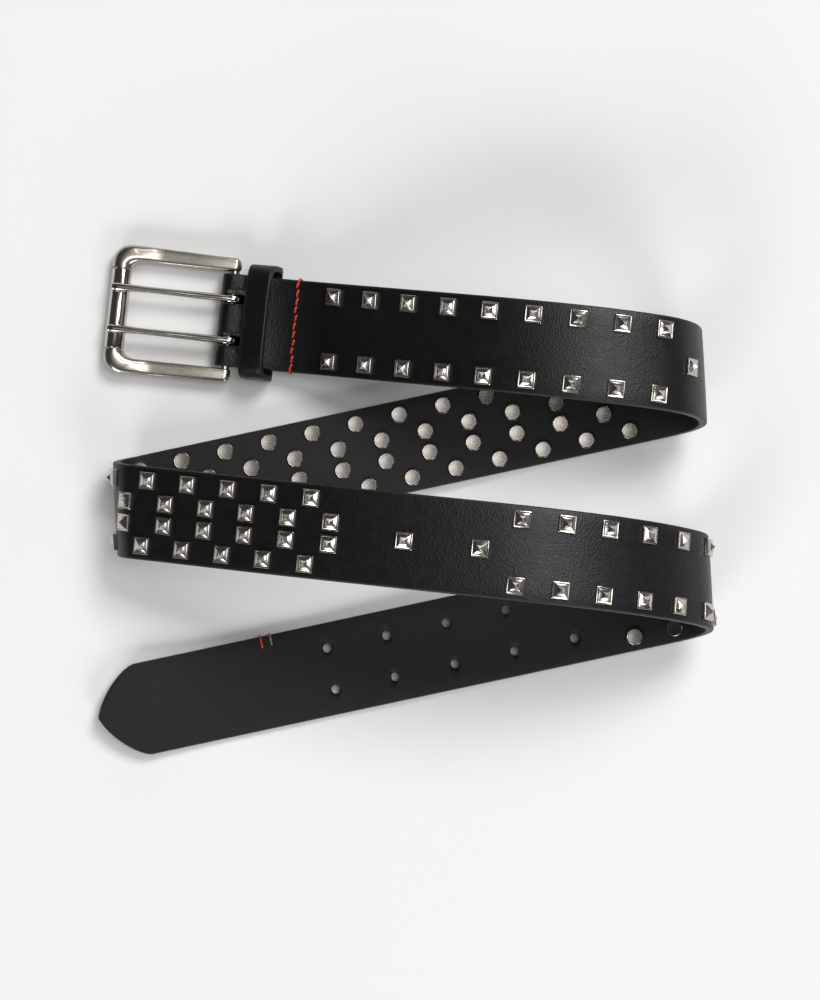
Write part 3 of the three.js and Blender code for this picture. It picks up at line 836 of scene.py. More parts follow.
@dataclass
class Strap:
    """The leather strap, with the patterned field of studs fused to it, and the loose studs."""

    path: StrapPath = field(default_factory=StrapPath)
    stud: StudShape = field(default_factory=StudShape)
    fold_thickness: float = 2.4
    turn_back: float = 31.5
    turn_back_rise: float = 10.0
    paring_start: float = 4.0
    paring_end: float = 12.0
    layer_gap: float = 0.3
    seat_gap: float = 0.3
    heel_bar_radius: float = 2.0
    heel_bar_clearance: float = 0.25
    prong_thickness: float = 2.6
    prong_eye_width: float = 3.2
    prong_spacing: float = 17.2
    slot_clearance: float = 0.4
    # The solid's slots reach 7.5 mm
    slot_reach: float = 6.2
    eye_sides: int = 24
    end_steps: int = 10
    punch_sides: int = 20
    creased: tuple[float, float] = (4.0, 12.0)
    stud_inset: float = 5.8
    stud_pitch: float = 17.7
    pairs_per_row: int = 9
    row_starts: tuple[float, float] = (45.2, 658.45)
    middle_pitch: float = 30.4
    middle_starts: tuple[float, float] = (201.5, 612.85)
    field_start: float = 262.0
    field_pitch: float = 9.15
    field_columns: int = 36
    field_inner_row: float = 4.4
    field_sink: float = 0.7
    hole_diameter: float = 3.8
    hole_pitch: float = 25.1
    hole_from_tip: float = 98.0
    hole_pairs: int = 5
    station: float = 2.2
    grain_bevel: float = 0.75
    flesh_bevel: float = 0.45
    crown: float = 0.12

    def profile(self, half: float, outer: float, inner: float) -> list[tuple[float, float]]:
        """Section of the strip, from one edge over the grain side to the other and back.

        Args:
            half: half the strip's width.
            outer: lift of the grain side.
            inner: lift of the flesh side.

        Returns:
            Side and lift of each point.
        """
        room = abs(outer - inner)
        way = 1.0 if outer > inner else -1.0
        grain = min(self.grain_bevel, room * 0.4, half * 0.5)
        flesh = min(self.flesh_bevel, room * 0.3, half * 0.3)
        flat = [-1.0, -0.75, -0.5, -0.25, 0.0, 0.25, 0.5, 0.75, 1.0]
        points = []
        for share in reversed(flat):
            points.append((share * (half - grain), outer - way * self.crown * share**4))
        for angle in (30.0, 60.0, 90.0):
            turn = math.radians(angle)
            side = grain - half - grain * math.sin(turn)
            points.append((side, outer - way * (self.crown + (grain - self.crown) * (1 - math.cos(turn)))))
        for angle in (0.0, 45.0, 90.0):
            turn = math.radians(angle)
            side = flesh - half - flesh * math.cos(turn)
            points.append((side, inner + way * flesh * (1 - math.sin(turn))))
        for share in flat[1:-1]:
            points.append((share * (half - flesh), inner))
        for angle in (90.0, 45.0, 0.0):
            turn = math.radians(angle)
            side = half - flesh + flesh * math.cos(turn)
            points.append((side, inner + way * flesh * (1 - math.sin(turn))))
        for angle in (90.0, 60.0, 30.0):
            turn = math.radians(angle)
            side = half - grain + grain * math.sin(turn)
            points.append((side, outer - way * (self.crown + (grain - self.crown) * (1 - math.cos(turn)))))
        return points

    def side_of(self, column: int) -> int:
        """Material number of a column of the section's faces."""
        if column < 8:
            return Side.GRAIN
        if 14 <= column < 22:
            return Side.FLESH
        return Side.EDGE

    def slant(self, place: float) -> float:
        """How far the stations follow the slanted rulings at a place."""
        from_heel = (place - self.paring_start) / (self.paring_end - self.paring_start)
        from_point = (self.path.length - self.path.point_length - place) / self.path.point_length
        return min(max(min(from_heel, from_point), 0.0), 1.0) * math.tan(self.path.coil)

    def inner_lift(self, place: float) -> float:
        """Lift of the flesh side, which is pared near the heel."""
        pared = 1 - (place - self.paring_start) / (self.paring_end - self.paring_start)
        paring = min(max(pared, 0.0), 1.0) * (self.path.thickness - self.fold_thickness)
        return paring - self.path.thickness / 2

    def stations(self) -> list[tuple[Layer, float]]:
        """Each station of the strap, from the tip to the heel, round the bar and back."""
        length = self.path.length
        shares = (0.004, 0.015, 0.04, 0.08, 0.13, 0.19, 0.26, 0.34, 0.43, 0.53, 0.64, 0.76, 0.88)
        places = [length - share * self.path.point_length for share in shares]
        stop = length - self.path.point_length
        count = round(stop / self.station)
        places += [stop * i / count for i in range(count, 0, -1)]
        found = [(Layer.RUN, place) for place in places]
        found += [(Layer.FOLD, 90 + 180 * i / 20) for i in range(21)]
        steps = 26
        found += [(Layer.BACK, self.turn_back * i / steps) for i in range(1, steps + 1)]
        return found

    def leather(self) -> Shell:
        """The bare strap as one shell."""
        half = self.path.width / 2
        top = self.path.thickness / 2
        fold_inner = self.heel_bar_radius + self.heel_bar_clearance
        fold_outer = fold_inner + self.fold_thickness
        back_top = -top - self.layer_gap
        rise = back_top + self.path.heel_drop + fold_inner
        rings, along = [], []
        run = 0.0
        for layer, value in self.stations():
            if layer is Layer.RUN:
                width = self.path.half_width(self.path.length - value)
                slant = self.slant(value)
                flat = self.profile(width, top, self.inner_lift(value))
                rings.append([self.path.point(value - s * slant, s, t) for s, t in flat])
                along.append(value)
            elif layer is Layer.FOLD:
                angle = math.radians(value)
                flat = self.profile(half, fold_outer, fold_inner)
                rings.append(
                    [
                        self.path.point(t * math.cos(angle), s, t * math.sin(angle) - self.path.heel_drop)
                        for s, t in flat
                    ]
                )
                run = -fold_outer * math.radians(value - 90)
                along.append(run)
            else:
                slant = self.slant(value)
                inner = back_top - rise * (1 - ease(value / self.turn_back_rise))
                flat = self.profile(half, inner - self.fold_thickness, inner)
                rings.append([self.path.point(value - s * slant, s, t) for s, t in flat])
                along.append(run - value)
        shell = Shell()
        across = [s for s, _ in self.profile(half, top, -top)]
        shell.skin(
            rings,
            self.side_of,
            along=along + [along[-1]],
            around=across + across[:1],
            end_slot=Side.EDGE,
        )
        for index, (slot, places) in enumerate(zip(shell.slots, shell.places)):
            near_fold = self.creased[0] < min(u for u, _ in places) < self.creased[1]
            if slot == Side.GRAIN and near_fold:
                shell.slots[index] = Side.CREASED
        return shell

    def cutters(self) -> list[Shell]:
        """Hole punches with the prong eyes' rounds, then the slots' straight runs, which meet the rounds."""
        rounds = Shell()
        runs = Shell()
        reach = self.path.thickness
        for pair in range(self.hole_pairs):
            place = self.path.length - self.hole_from_tip - pair * self.hole_pitch
            for side in (self.prong_spacing / 2, -self.prong_spacing / 2):
                rounds.add(self.punch(self.hole_diameter / 2, reach), self.path.frame(place, side))
        eye = self.heel_bar_radius + self.seat_gap + self.prong_thickness + self.seat_gap
        width = self.prong_eye_width + 2 * self.slot_clearance
        floor = -self.path.heel_drop / 2
        for side in (self.prong_spacing / 2, -self.prong_spacing / 2):
            outline = [
                Vector((eye * math.cos(a), 0, eye * math.sin(a))) for a in round_angles(self.eye_sides)
            ]
            disc = Shell()
            disc.skin(
                [[p + Vector((0, y, 0)) for p in outline] for y in (-width / 2, width / 2)],
                lambda column: Side.EDGE,
                end_slot=Side.EDGE,
            )
            rounds.add(disc, self.path.frame(0, side, -self.path.heel_drop))
            length = self.slot_reach - width / 2
            ends = [math.pi * (i / self.end_steps - 0.5) for i in range(self.end_steps + 1)]
            plan = [(length + math.cos(a) * width / 2, math.sin(a) * width / 2) for a in ends]
            plan += [(0.0, width / 2), (0.0, -width / 2)]
            run = Shell()
            run.skin(
                [[Vector((x, y, z)) for x, y in plan] for z in (floor, reach)],
                lambda column: Side.EDGE,
                end_slot=Side.EDGE,
            )
            runs.add(run, self.path.frame(0, side))
        return [rounds, runs]

    def punch(self, radius: float, reach: float) -> Shell:
        """Round punch through the leather, in its own frame."""
        angles = round_angles(self.punch_sides)
        rings = [
            [Vector((radius * math.cos(a), radius * math.sin(a), z)) for a in angles]
            for z in (-reach, reach)
        ]
        shell = Shell()
        shell.skin(rings, lambda column: Side.EDGE, end_slot=Side.EDGE)
        return shell

    def field_places(self) -> list[tuple[float, float]]:
        """Place and side of each stud of the patterned field."""
        outer = self.path.width / 2 - self.stud_inset
        places = []
        for column in range(self.field_columns):
            side = outer if column % 2 == 0 else self.field_inner_row
            place = self.field_start + column * self.field_pitch
            places += [(place, side), (place, -side)]
        return places

    def loose_places(self) -> dict[str, tuple[float, float]]:
        """Place and side of each stud that is a node of its own."""
        outer = self.path.width / 2 - self.stud_inset
        places = {}
        for row, start in enumerate(self.row_starts, 1):
            for i in range(self.pairs_per_row):
                places[f"stud_row{row}_upper_{i + 1}"] = (start + i * self.stud_pitch, outer)
                places[f"stud_row{row}_lower_{i + 1}"] = (start + i * self.stud_pitch, -outer)
        for number, start in enumerate(self.middle_starts):
            for i in range(2):
                name = f"stud_middle_{2 * number + i + 1}"
                places[name] = (start + i * self.middle_pitch, 0.0)
        return places

    def build_strap(self) -> bpy.types.Object:
        """Builds the strap with its holes, slots and fused field of studs.

        Returns:
            The strap piece, which replaces the strap node.
        """
        bare = bpy.data.objects.new("bare_strap", self.leather().mesh("bare_strap", STRAP_FINISHES, 60))
        tools = [
            bpy.data.objects.new("punches", shell.mesh("punches", STRAP_FINISHES))
            for shell in self.cutters()
        ]
        for thing in (bare, *tools):
            bpy.context.scene.collection.objects.link(thing)
        for tool in tools:
            cut = bare.modifiers.new("punched", "BOOLEAN")
            cut.operation = "DIFFERENCE"
            cut.solver = "MANIFOLD"
            cut.object = tool
        shapes = bpy.context.evaluated_depsgraph_get()
        mesh = bpy.data.meshes.new_from_object(bare.evaluated_get(shapes))
        mesh.name = "strap_leather"
        studs = Shell()
        half = self.path.thickness / 2
        for place, side in self.field_places():
            studs.add(self.stud.head(self.field_sink), self.path.frame(place, side, half))
            studs.add(self.stud.cap(self.field_sink), self.path.frame(place, side, -half))
        metal = studs.mesh("field_studs", STRAP_FINISHES, 24)
        whole = bmesh.new()
        whole.from_mesh(mesh)
        whole.from_mesh(metal)
        whole.to_mesh(mesh)
        whole.free()
        for thing in (bare, *tools):
            bpy.data.objects.remove(thing)
        strap = show("leather_strap", mesh, "belt")
        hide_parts("strap")
        return strap

    def build_loose_studs(self) -> list[bpy.types.Object]:
        """Builds the studs that are pieces of their own.

        Returns:
            The stud pieces, each of which replaces its node.
        """
        half = self.path.thickness / 2
        shape = Shell()
        shape.add(self.stud.head(self.seat_gap + 0.15), Matrix.Translation((0, 0, half + self.seat_gap)))
        shape.add(self.stud.cap(self.seat_gap + 0.15), Matrix.Translation((0, 0, -half - self.seat_gap)))
        shape.add(self.punch(1.2, half + self.seat_gap / 2))
        mesh = shape.mesh("pyramid_stud", STRAP_FINISHES, 24)
        for polygon in mesh.polygons:
            if polygon.material_index == Side.EDGE:
                polygon.material_index = Side.CAP
        pieces = []
        for node, (place, side) in self.loose_places().items():
            piece = show(
                f"dressed_{node}", mesh, "belt", in_metres(self.path.frame(place, side))
            )
            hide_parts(node)
            pieces.append(piece)
        return pieces


@dataclass
class Keeper:
    """The leather keeper, arched over the strap and leaning to the buckle. Millimetres."""

    path: StrapPath
    width: float = 11.0
    thickness: float = 2.5
    side_gap: float = 2.15
    top_rise: float = 5.0
    sag: float = 0.8
    place: float = 14.2
    shift: float = 3.4
    lean: float = math.radians(28.0)
    middle_rise: float = 0.85
    squareness: float = 1 / 3
    seat_gap: float = 0.3
    layer_gap: float = 0.3
    fold_thickness: float = 2.4
    steps: int = 144
    bevel: float = 0.6

    def centre(self, angle: float) -> tuple[float, Vector]:
        """Lean and middle point of the band at an angle round it."""
        pair_bottom = -self.path.thickness / 2 - self.layer_gap - self.fold_thickness
        top = self.path.thickness / 2 + self.seat_gap + self.thickness / 2 + self.top_rise
        bottom = pair_bottom - self.seat_gap - self.thickness / 2 - self.sag
        middle = (self.path.thickness / 2 + pair_bottom) / 2 + self.middle_rise
        half = self.path.width / 2 + self.side_gap + self.thickness / 2
        sine, cosine = math.sin(angle), math.cos(angle)
        reach = top - middle if sine > 0 else middle - bottom
        lift = middle + math.copysign(abs(sine) ** self.squareness, sine) * reach
        share = min(max((lift - middle) / (top - middle), 0.0), 1.0)
        side = math.copysign(abs(cosine) ** self.squareness, cosine) * half
        return self.lean * share, Vector((self.place - self.shift * share, side, lift))

    def even_angle(self, share: float) -> float:
        """Angle that crowds towards the band's corners."""
        turns = share * 4
        quarter = math.floor(turns)
        t = turns - quarter
        eased = 4 * t**3 if t < 0.5 else 1 - 4 * (1 - t) ** 3
        return (quarter + eased) * math.pi / 2

    def section(self) -> list[tuple[float, float, int]]:
        """Share of the width, share of the thickness and material number of each point of the band."""
        half, thick = self.width / 2, self.thickness / 2
        b = self.bevel
        points = []
        for share in (1.0, 0.5, 0.0, -0.5, -1.0):
            points.append((share * (half - b), thick, Side.GRAIN))
        points += [(-half + b * 0.3, thick - b * 0.3, Side.EDGE), (-half, thick - b, Side.EDGE)]
        points += [(-half, b - thick, Side.EDGE), (-half + b * 0.3, b * 0.3 - thick, Side.EDGE)]
        for share in (-1.0, 0.0, 1.0):
            points.append((share * (half - b), -thick, Side.FLESH))
        points += [(half - b * 0.3, b * 0.3 - thick, Side.EDGE), (half, b - thick, Side.EDGE)]
        points += [(half, thick - b, Side.EDGE), (half - b * 0.3, thick - b * 0.3, Side.EDGE)]
        return points

    def build(self) -> bpy.types.Object:
        """Builds the band.

        Returns:
            The keeper piece, which replaces the keeper node.
        """
        flat = self.section()
        frame = self.path.frame(0, 0)
        nudge = 0.02
        rings = []
        for i in range(self.steps):
            angle = self.even_angle((i + 0.5) / self.steps)
            lean, point = self.centre(angle)
            tangent = self.centre(angle + nudge)[1] - self.centre(angle - nudge)[1]
            tangent.x = 0
            along = Vector((math.cos(lean), 0, math.sin(lean)))
            out = tangent.cross(along).normalized()
            if out.dot(point) < 0:
                out.negate()
            rings.append([frame @ (point + along * a + out * b) for a, b, _ in flat])
        shell = Shell()
        numbers = [number for _, _, number in flat]
        shell.skin(
            rings,
            lambda j: numbers[j] if numbers[j] == numbers[(j + 1) % len(numbers)] else Side.EDGE,
            closed=True,
        )
        mesh = shell.mesh("keeper", [GRAIN, FLESH, EDGE], 50)
        keeper = show("leather_keeper", mesh, "belt")
        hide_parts("keeper_loop")
        return keeper


@dataclass
class Buckle:
    """Roller buckle with two prongs, lying on its front bar at both ends of the roller. Millimetres."""

    path: StrapPath
    reach: float = 46.4
    inner_width: float = 40.0
    front_width: float = 6.8
    heel_width: float = 5.7
    bar_thickness: float = 5.0
    front_diameter: float = 8.6
    corner: float = 8.0
    fillet: float = 5.6
    knuckle: float = 2.7
    # The solid's corners are thinned by 0.8
    corner_thinning: float = 0.5
    thinning_run: float = 7.5
    corner_roundness: float = 0.55
    bar_roundness: float = 0.45
    knuckle_roundness: float = 0.6
    roller_diameter: float = 8.2
    roller_length: float = 33.4
    roller_end_gap: float = 0.25
    roller_rim: float = 0.35
    roller_edge: float = 0.1
    pin_diameter: float = 5.2
    pin_clearance: float = 0.3
    heel_bar_radius: float = 2.0
    seat_gap: float = 0.3
    prong_spacing: float = 17.2
    prong_thickness: float = 2.6
    prong_heel_thickness: float = 3.1
    prong_eye_width: float = 3.2
    tip_angle: float = math.radians(18.0)
    tip_flare: float = 0.28
    sides: int = 40
    prong_sides: int = 24

    def place(self) -> Matrix:
        """The buckle's own frame, in millimetres: X from the heel bar to the roller."""
        heel = self.path.frame(0, 0, -self.path.heel_drop)
        to_front = -heel.col[0].to_3d()
        to_side = -heel.col[1].to_3d()
        normal = heel.col[2].to_3d()
        matrix = Matrix((to_front, to_side, normal)).transposed().to_4x4()
        matrix.translation = heel.translation
        tilt = math.asin((self.path.heel_height - self.front_diameter / 2) / self.reach)
        return matrix @ Matrix.Rotation(tilt, 4, "Y")

    def bar_ring(
        self, inner: tuple[float, float], outer: tuple[float, float], thickness: float, roundness: float
    ) -> list[Vector]:
        """Oval or boxy section between an inner and an outer point of a side bar."""
        centre = ((inner[0] + outer[0]) / 2, (inner[1] + outer[1]) / 2)
        half = ((outer[0] - inner[0]) / 2, (outer[1] - inner[1]) / 2)
        ring = []
        for i in range(self.sides):
            angle = (i + 0.5) / self.sides * 2 * math.pi
            sine, cosine = math.sin(angle), math.cos(angle)
            u = math.copysign(abs(cosine) ** roundness, cosine)
            w = math.copysign(abs(sine) ** roundness, sine)
            ring.append(Vector((centre[0] + half[0] * u, centre[1] + half[1] * u, thickness / 2 * w)))
        return ring

    def side_bar(self) -> Shell:
        """Half of the frame: from the roller's end round the corner to the knuckle at the heel."""
        inner = self.inner_width / 2
        seam = self.roller_length / 2 + self.seat_gap
        radius = self.front_diameter / 2
        outer_x = self.reach + radius

        def outer_y(x: float) -> float:
            share = min(max(x / (outer_x - self.corner), 0.0), 1.0)
            return inner + mix(self.heel_width, self.front_width, share)

        rings = [self.bar_ring((self.reach - radius, seam), (outer_x, seam), self.front_diameter, 1.0)]
        steps = 24
        start = self.reach - radius - self.fillet
        corner_y = outer_y(outer_x) - self.corner
        for i in range(1, steps + 1):
            share = i / steps
            angle = share * math.pi / 2
            rings.append(
                self.bar_ring(
                    (start + self.fillet * math.cos(angle), seam + (inner - seam) * math.sin(angle)),
                    (
                        outer_x - self.corner + self.corner * math.cos(angle),
                        corner_y + self.corner * math.sin(angle),
                    ),
                    mix(self.front_diameter, self.bar_thickness, share**2 * self.corner_thinning),
                    mix(1.0, self.corner_roundness, share),
                )
            )
        full = mix(self.front_diameter, self.bar_thickness, self.corner_thinning)
        for i in range(1, 7):
            share = i / 6
            x = start - self.thinning_run * share
            rings.append(
                self.bar_ring(
                    (x, inner),
                    (x, outer_y(x)),
                    mix(full, self.bar_thickness, 1 - (1 - share) ** 2),
                    mix(self.corner_roundness, self.bar_roundness, share),
                )
            )
        for x in (start / 2, 0.0):
            rings.append(self.bar_ring((x, inner), (x, outer_y(x)), self.bar_thickness, self.bar_roundness))
        for i in range(1, 9):
            share = math.sin(i / 8 * math.pi / 2) * 0.97
            shrink = math.sqrt(1 - share**2)
            trim = self.heel_width / 2 * (1 - shrink)
            rings.append(
                self.bar_ring(
                    (-self.knuckle * share, inner + trim * 0.5),
                    (-self.knuckle * share, outer_y(0.0) - trim),
                    self.bar_thickness * max(shrink, 0.35),
                    mix(self.bar_roundness, self.knuckle_roundness, share),
                )
            )
        shell = Shell()
        shell.skin(rings)
        return shell

    def rod(self, radius: float, length: float, x: float, sides: int = 32) -> Shell:
        """Round bar across the buckle."""
        angles = round_angles(sides)
        rings = [
            [Vector((x + radius * math.cos(a), y, radius * math.sin(a))) for a in angles]
            for y in (-length / 2, length / 2)
        ]
        shell = Shell()
        shell.skin(rings)
        return shell

    def turned(self, profile: list[tuple[float, float]], sides: int) -> Shell:
        """Ring turned about Y from a closed profile of radius and place."""
        rings = []
        for angle in round_angles(sides):
            rings.append([Vector((r * math.cos(angle), y, r * math.sin(angle))) for r, y in profile])
        shell = Shell()
        shell.skin(rings, closed=True)
        return shell

    def prong(self) -> Shell:
        """Prong: an eye round the heel bar and a tapered bar that bends down over the roller."""
        inner = self.heel_bar_radius + self.seat_gap
        outer = inner + self.prong_thickness
        half = self.prong_eye_width / 2
        middle = (inner + outer) / 2
        profile = []
        for angle in round_angles(self.prong_sides):
            u = math.copysign(abs(math.cos(angle)) ** 0.7, math.cos(angle))
            w = math.copysign(abs(math.sin(angle)) ** 0.7, math.sin(angle))
            profile.append((middle + (outer - inner) / 2 * u, half * w))
        shell = self.turned(profile, 48)
        thin, wide = self.prong_thickness / 2, self.prong_heel_thickness / 2
        over = self.roller_diameter / 2 + self.seat_gap + thin
        shares = [(0, 0, 0), (0.11, 0.05, 1), (0.28, 0.19, 0.75), (0.6, 0.74, 0), (0.9, 0.98, 0)]
        line = [(a * self.reach, mix(middle, over, b), mix(thin, wide, c)) for a, b, c in shares]
        for share in (0.0, 0.5, 1.0):
            angle = share * self.tip_angle
            size = thin * (0.9 if share == 1 else 1.0)
            line.append((self.reach + over * math.sin(angle), over * math.cos(angle), size))
        end = self.tip_angle + thin / over
        for share, size in ((0.45, 0.95), (0.75, 0.8), (0.93, 0.52), (1.0, 0.15)):
            angle = mix(self.tip_angle, end, share)
            line.append((self.reach + over * math.sin(angle), over * math.cos(angle), thin * size))
        smooth = self.smoothed(line, 5)
        rings = []
        for i, (x, z, radius) in enumerate(smooth):
            before = smooth[max(i - 1, 0)]
            after = smooth[min(i + 1, len(smooth) - 1)]
            slope = math.atan2(after[1] - before[1], after[0] - before[0])
            width = radius * (1 + self.tip_flare * ease(x / self.reach * 4 - 3))
            ring = []
            for angle in round_angles(self.prong_sides):
                up = radius * math.sin(angle)
                ring.append(
                    Vector((x - up * math.sin(slope), width * math.cos(angle), z + up * math.cos(slope)))
                )
            rings.append(ring)
        shell.skin(rings)
        return shell

    def smoothed(
        self, line: list[tuple[float, float, float]], steps: int
    ) -> list[tuple[float, float, float]]:
        """A smooth line through the stations, with so many steps to each."""
        dense = []
        for i in range(len(line) - 1):
            a, b = line[max(i - 1, 0)], line[i]
            c, d = line[i + 1], line[min(i + 2, len(line) - 1)]
            for step in range(steps):
                t = step / steps
                dense.append(
                    tuple(
                        0.5
                        * (
                            2 * q
                            + (r - p) * t
                            + (2 * p - 5 * q + 4 * r - s) * t * t
                            + (3 * q - p - 3 * r + s) * t**3
                        )
                        for p, q, r, s in zip(a, b, c, d)
                    )
                )
        dense.append(line[-1])
        return dense

    def build(self) -> None:
        """Builds the frame, the roller and the prongs."""
        place = self.place()
        bar = self.side_bar()
        frame = Shell()
        frame.add(bar)
        frame.add(bar, Matrix.Scale(-1, 4, Vector((0, 1, 0))))
        frame.add(self.rod(self.pin_diameter / 2, self.roller_length + 4 * self.seat_gap, self.reach))
        frame.add(self.rod(self.heel_bar_radius, self.inner_width + self.heel_width, 0.0))
        mesh = frame.mesh("frame_casting", [SATIN], 50)
        casting = show("buckle_casting", mesh, "buckle", in_metres(place))
        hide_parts("buckle_frame")

        inner = self.pin_diameter / 2 + self.pin_clearance
        outer = self.roller_diameter / 2
        half = self.roller_length / 2 - self.roller_end_gap
        rim, edge = self.roller_rim, self.roller_edge
        profile = [(inner, -half), (outer - rim, -half), (outer - edge, edge - half), (outer, rim - half)]
        profile += [(outer, half - rim), (outer - edge, half - edge), (outer - rim, half), (inner, half)]
        mesh = self.turned(profile, 64).mesh("roller_tube", [BRIGHT], 50)
        at_roller = place @ Matrix.Translation((self.reach, 0, 0))
        tube = show("roller_tube", mesh, "roller", in_metres(at_roller))
        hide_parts("roller")

        mesh = self.prong().mesh("prong_bar", [BRIGHT], 50)
        for name, side in (("upper", -1), ("lower", 1)):
            at_prong = place @ Matrix.Translation((0, side * self.prong_spacing / 2, 0))
            piece = show(f"bright_prong_{name}", mesh, f"prong_{name}", in_metres(at_prong))
            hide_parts(f"prong_{name}")


@dataclass
class Stitching:
    """The red stitch row behind the keeper, and the thread ends near the tip. Millimetres."""

    path: StrapPath
    thread: float = 0.95
    row_place: float = 27.6
    pitch: float = 3.4
    dash: float = 2.95
    wander: float = 0.25
    uneven: float = 0.12
    slant: float = 0.7
    sink: float = 0.3
    arch: float = 0.62
    strand_sides: int = 10
    end_from_tip: tuple[float, float] = (72.0, 76.0)

    def strand(self, line: list[Vector], radius: float) -> Shell:
        """Thread along a line of points, with rounded ends."""
        shell = Shell()
        rings = []
        for i, point in enumerate(line):
            before, after = line[max(i - 1, 0)], line[min(i + 1, len(line) - 1)]
            way = (after - before).normalized()
            side = way.cross(Vector((0.3, 0.2, 0.93))).normalized()
            up = side.cross(way)
            end = min(i, len(line) - 1 - i)
            size = radius * (0.45 if end == 0 else 0.85 if end == 1 else 1.0)
            angles = round_angles(self.strand_sides)
            rings.append([point + (side * math.cos(a) + up * math.sin(a)) * size for a in angles])
        shell.skin(rings)
        return shell

    def row(self) -> Shell:
        """The stitches across the strap, slightly slanted, with one over each edge."""
        shell = Shell()
        half = self.path.width / 2
        top = self.path.thickness / 2
        count = round((self.path.width - 1.0) / self.pitch)
        for i in range(count):
            middle = (i - (count - 1) / 2) * self.pitch
            wander = self.wander * math.sin(i * 2.4)
            length = self.dash * (1 + self.uneven * math.sin(i * 1.7))
            line = []
            for step in range(9):
                t = step / 8 - 0.5
                side = middle + t * length
                place = self.row_place + wander + t * self.slant
                lift = top - self.sink
                if abs(t) < 0.5:
                    lift += self.arch * math.cos(t * math.pi) ** 0.6
                line.append(self.path.point(place, side, lift))
            shell.add(self.strand(line, self.thread / 2))
        shell.add(self.over_edge(self.row_place + 0.2, half, 2.2, 1.2))
        shell.add(self.over_edge(self.row_place - 0.2, -half, 2.2, 1.2))
        return shell

    def over_edge(self, place: float, edge: float, front: float, back: float) -> Shell:
        """A stitch wrapped over one edge of the strap.

        Args:
            place: distance along the strap.
            edge: side of the edge.
            front: how far it runs on over the grain side, or 0 where it comes out of the edge.
            back: how far it runs on over the flesh side.

        Returns:
            The stitch.
        """
        top = self.path.thickness / 2
        proud = self.thread * 0.35
        way = math.copysign(1.0, edge)
        flat = [(edge - way * 0.4, top - 1.2)]
        if front > 0:
            flat = [(edge - way * front, top - 0.3), (edge - way * front * 0.8, top + proud)]
            flat += [(edge - way * 0.7, top + proud), (edge - way * 0.1, top - 0.1)]
            flat.append((edge + way * proud, top - 0.8))
        flat += [(edge + way * proud, 0.0), (edge + way * proud, 0.8 - top)]
        flat += [(edge - way * 0.1, 0.1 - top), (edge - way * 0.5, -top - proud)]
        flat += [(edge - way * back * 0.8, -top - proud), (edge - way * back, 0.3 - top)]
        line = [self.path.point(place, side, lift) for side, lift in flat]
        return self.strand(line, self.thread / 2)

    def build(self) -> None:
        """Builds the stitch row and the two thread ends."""
        mesh = self.row().mesh("stitch_row", [RED_THREAD], 60)
        show("red_stitch_row", mesh, "belt")
        edge = self.path.width / 2
        for name, finish, from_tip, back in (
            ("red", RED_THREAD, self.end_from_tip[0], 5.0),
            ("grey", GREY_THREAD, self.end_from_tip[1], 4.4),
        ):
            stitch = self.over_edge(self.path.length - from_tip, edge, 0.0, back)
            mesh = stitch.mesh(f"{name}_thread", [finish], 60)
            show(f"{name}_thread_end", mesh, "belt")


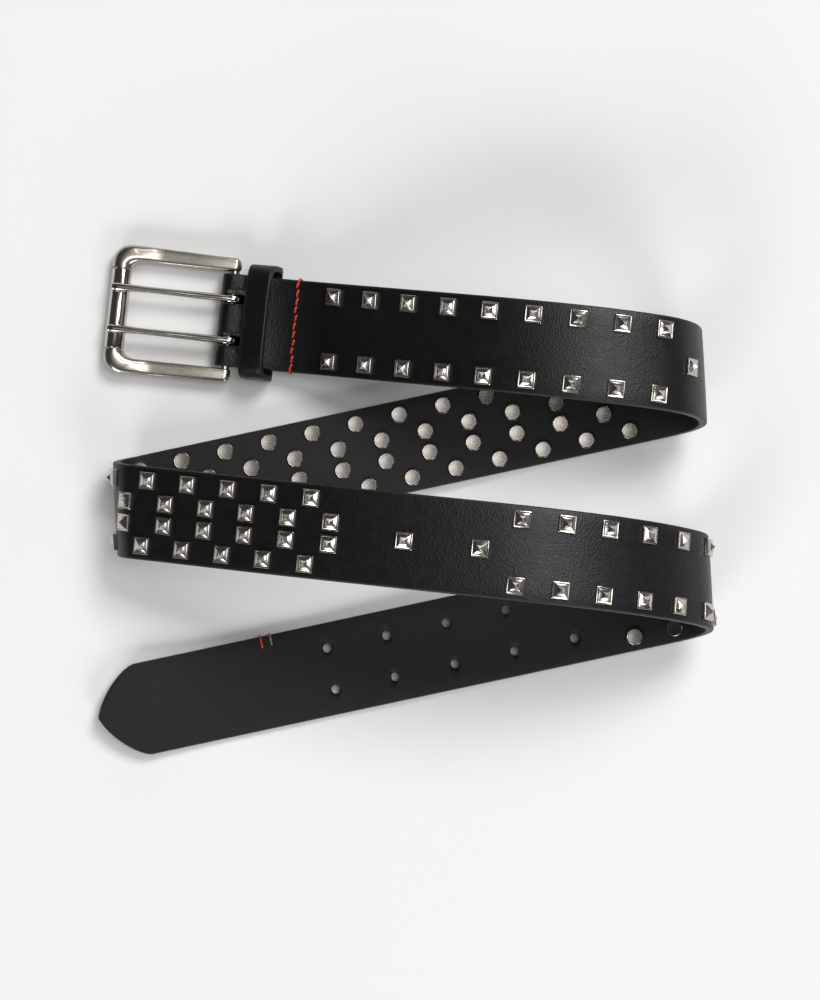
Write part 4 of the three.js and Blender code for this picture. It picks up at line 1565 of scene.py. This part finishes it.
@dataclass
class Studio:
    """White table, soft lights, and the camera that looks down on the belt. Millimetres."""

    camera_at: tuple[float, float, float] = (1.226, -66.897, 1820.35)
    camera_tilt: float = 0.03667
    focal_pixels: float = 4413.1
    picture_height: float = 1000.0
    sensor: float = 36.0
    table: float = 6000.0

    def build_camera(self) -> None:
        """Builds the camera."""
        data = bpy.data.cameras.new("camera")
        data.lens = self.focal_pixels * self.sensor / self.picture_height
        data.sensor_width = self.sensor
        data.clip_start = 0.05
        data.clip_end = 20.0
        camera = bpy.data.objects.new("camera", data)
        camera.location = Vector(self.camera_at) * METRES
        camera.rotation_euler = (self.camera_tilt, 0, 0)
        bpy.context.scene.collection.objects.link(camera)
        bpy.context.scene.camera = camera

    def build_table(self) -> None:
        """Builds the table as one wide matt sheet."""
        half = self.table / 2
        shell = Shell()
        corners = [Vector((x * half, y * half, 0)) for x, y in ((-1, -1), (1, -1), (1, 1), (-1, 1))]
        shell.points = corners
        shell.face((0, 1, 2, 3), 0, [(0, 0), (1, 0), (1, 1), (0, 1)])
        paper = bpy.data.materials.new("matt_white_paper")
        paper.use_nodes = True
        shader = paper.node_tree.nodes["Principled BSDF"]
        shader.inputs["Base Color"].default_value = srgb("#eeeeee")
        shader.inputs["Roughness"].default_value = 0.9
        shader.inputs["Specular IOR Level"].default_value = 0.2
        mesh = shell.mesh("table", [])
        mesh.materials.append(paper)
        table = bpy.data.objects.new("table", mesh)
        bpy.context.scene.collection.objects.link(table)

    def lamp(
        self, name: str, at: tuple[float, float, float], size: tuple[float, float], power: float
    ) -> None:
        """Adds a soft box that faces the belt.

        Args:
            name: the lamp's name.
            at: where it hangs, in millimetres.
            size: its width and height, in millimetres.
            power: its power in watts.
        """
        data = bpy.data.lights.new(name, "AREA")
        data.shape = "RECTANGLE"
        data.size = size[0] * METRES
        data.size_y = size[1] * METRES
        data.energy = power
        lamp = bpy.data.objects.new(name, data)
        lamp.location = Vector(at) * METRES
        lamp.rotation_euler = (-lamp.location).to_track_quat("-Z", "Y").to_euler()
        bpy.context.scene.collection.objects.link(lamp)

    def build_lights(self) -> None:
        """Builds the key, the sheen box, the fills, the dim cards for the metal, and the room's light."""
        self.lamp("key", (1900, 2500, 3870), (2000, 2000), 152)
        self.lamp("sheen_box", (1250, 250, 4830), (1400, 2400), 50)
        self.lamp("ceiling_card", (-100, 0, 5000), (2600, 2600), 6)
        self.lamp("front_right_fill", (2030, -3820, 2300), (2000, 1800), 80)
        self.lamp("front_left_fill", (-2030, -3820, 2300), (2000, 1800), 80)
        self.lamp("front_card", (0, -4300, 2450), (3600, 2400), 12)
        self.lamp("right_card", (4300, 0, 2300), (2400, 2400), 5)
        self.lamp("back_card", (0, 4900, 1050), (3600, 900), 16)
        world = bpy.data.worlds.new("room")
        world.use_nodes = True
        tree = world.node_tree
        tree.nodes.clear()
        dim = add_node(tree, "ShaderNodeBackground", {"Color": srgb("#ffffff"), "Strength": 0.06})
        pale = add_node(tree, "ShaderNodeBackground", {"Color": srgb("#f4f4f4"), "Strength": 1.0})
        seen = add_node(tree, "ShaderNodeLightPath").outputs["Is Camera Ray"]
        both = add_node(
            tree,
            "ShaderNodeMixShader",
            {0: seen, 1: dim.outputs["Background"], 2: pale.outputs["Background"]},
        )
        add_node(tree, "ShaderNodeOutputWorld", {"Surface": both.outputs["Shader"]})
        bpy.context.scene.world = world
        bpy.context.scene.view_settings.view_transform = "Standard"

    def build(self) -> None:
        """Builds the whole set."""
        self.build_camera()
        self.build_table()
        self.build_lights()


def main() -> None:
    """Builds the belt's pieces in order."""
    logging.basicConfig(level=logging.INFO, format="%(message)s")
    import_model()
    Studio().build()
    strap = Strap()
    strap.build_strap()
    strap.build_loose_studs()
    Keeper(strap.path).build()
    Buckle(strap.path).build()
    Stitching(strap.path).build()


if __name__ == "__main__":
    main()
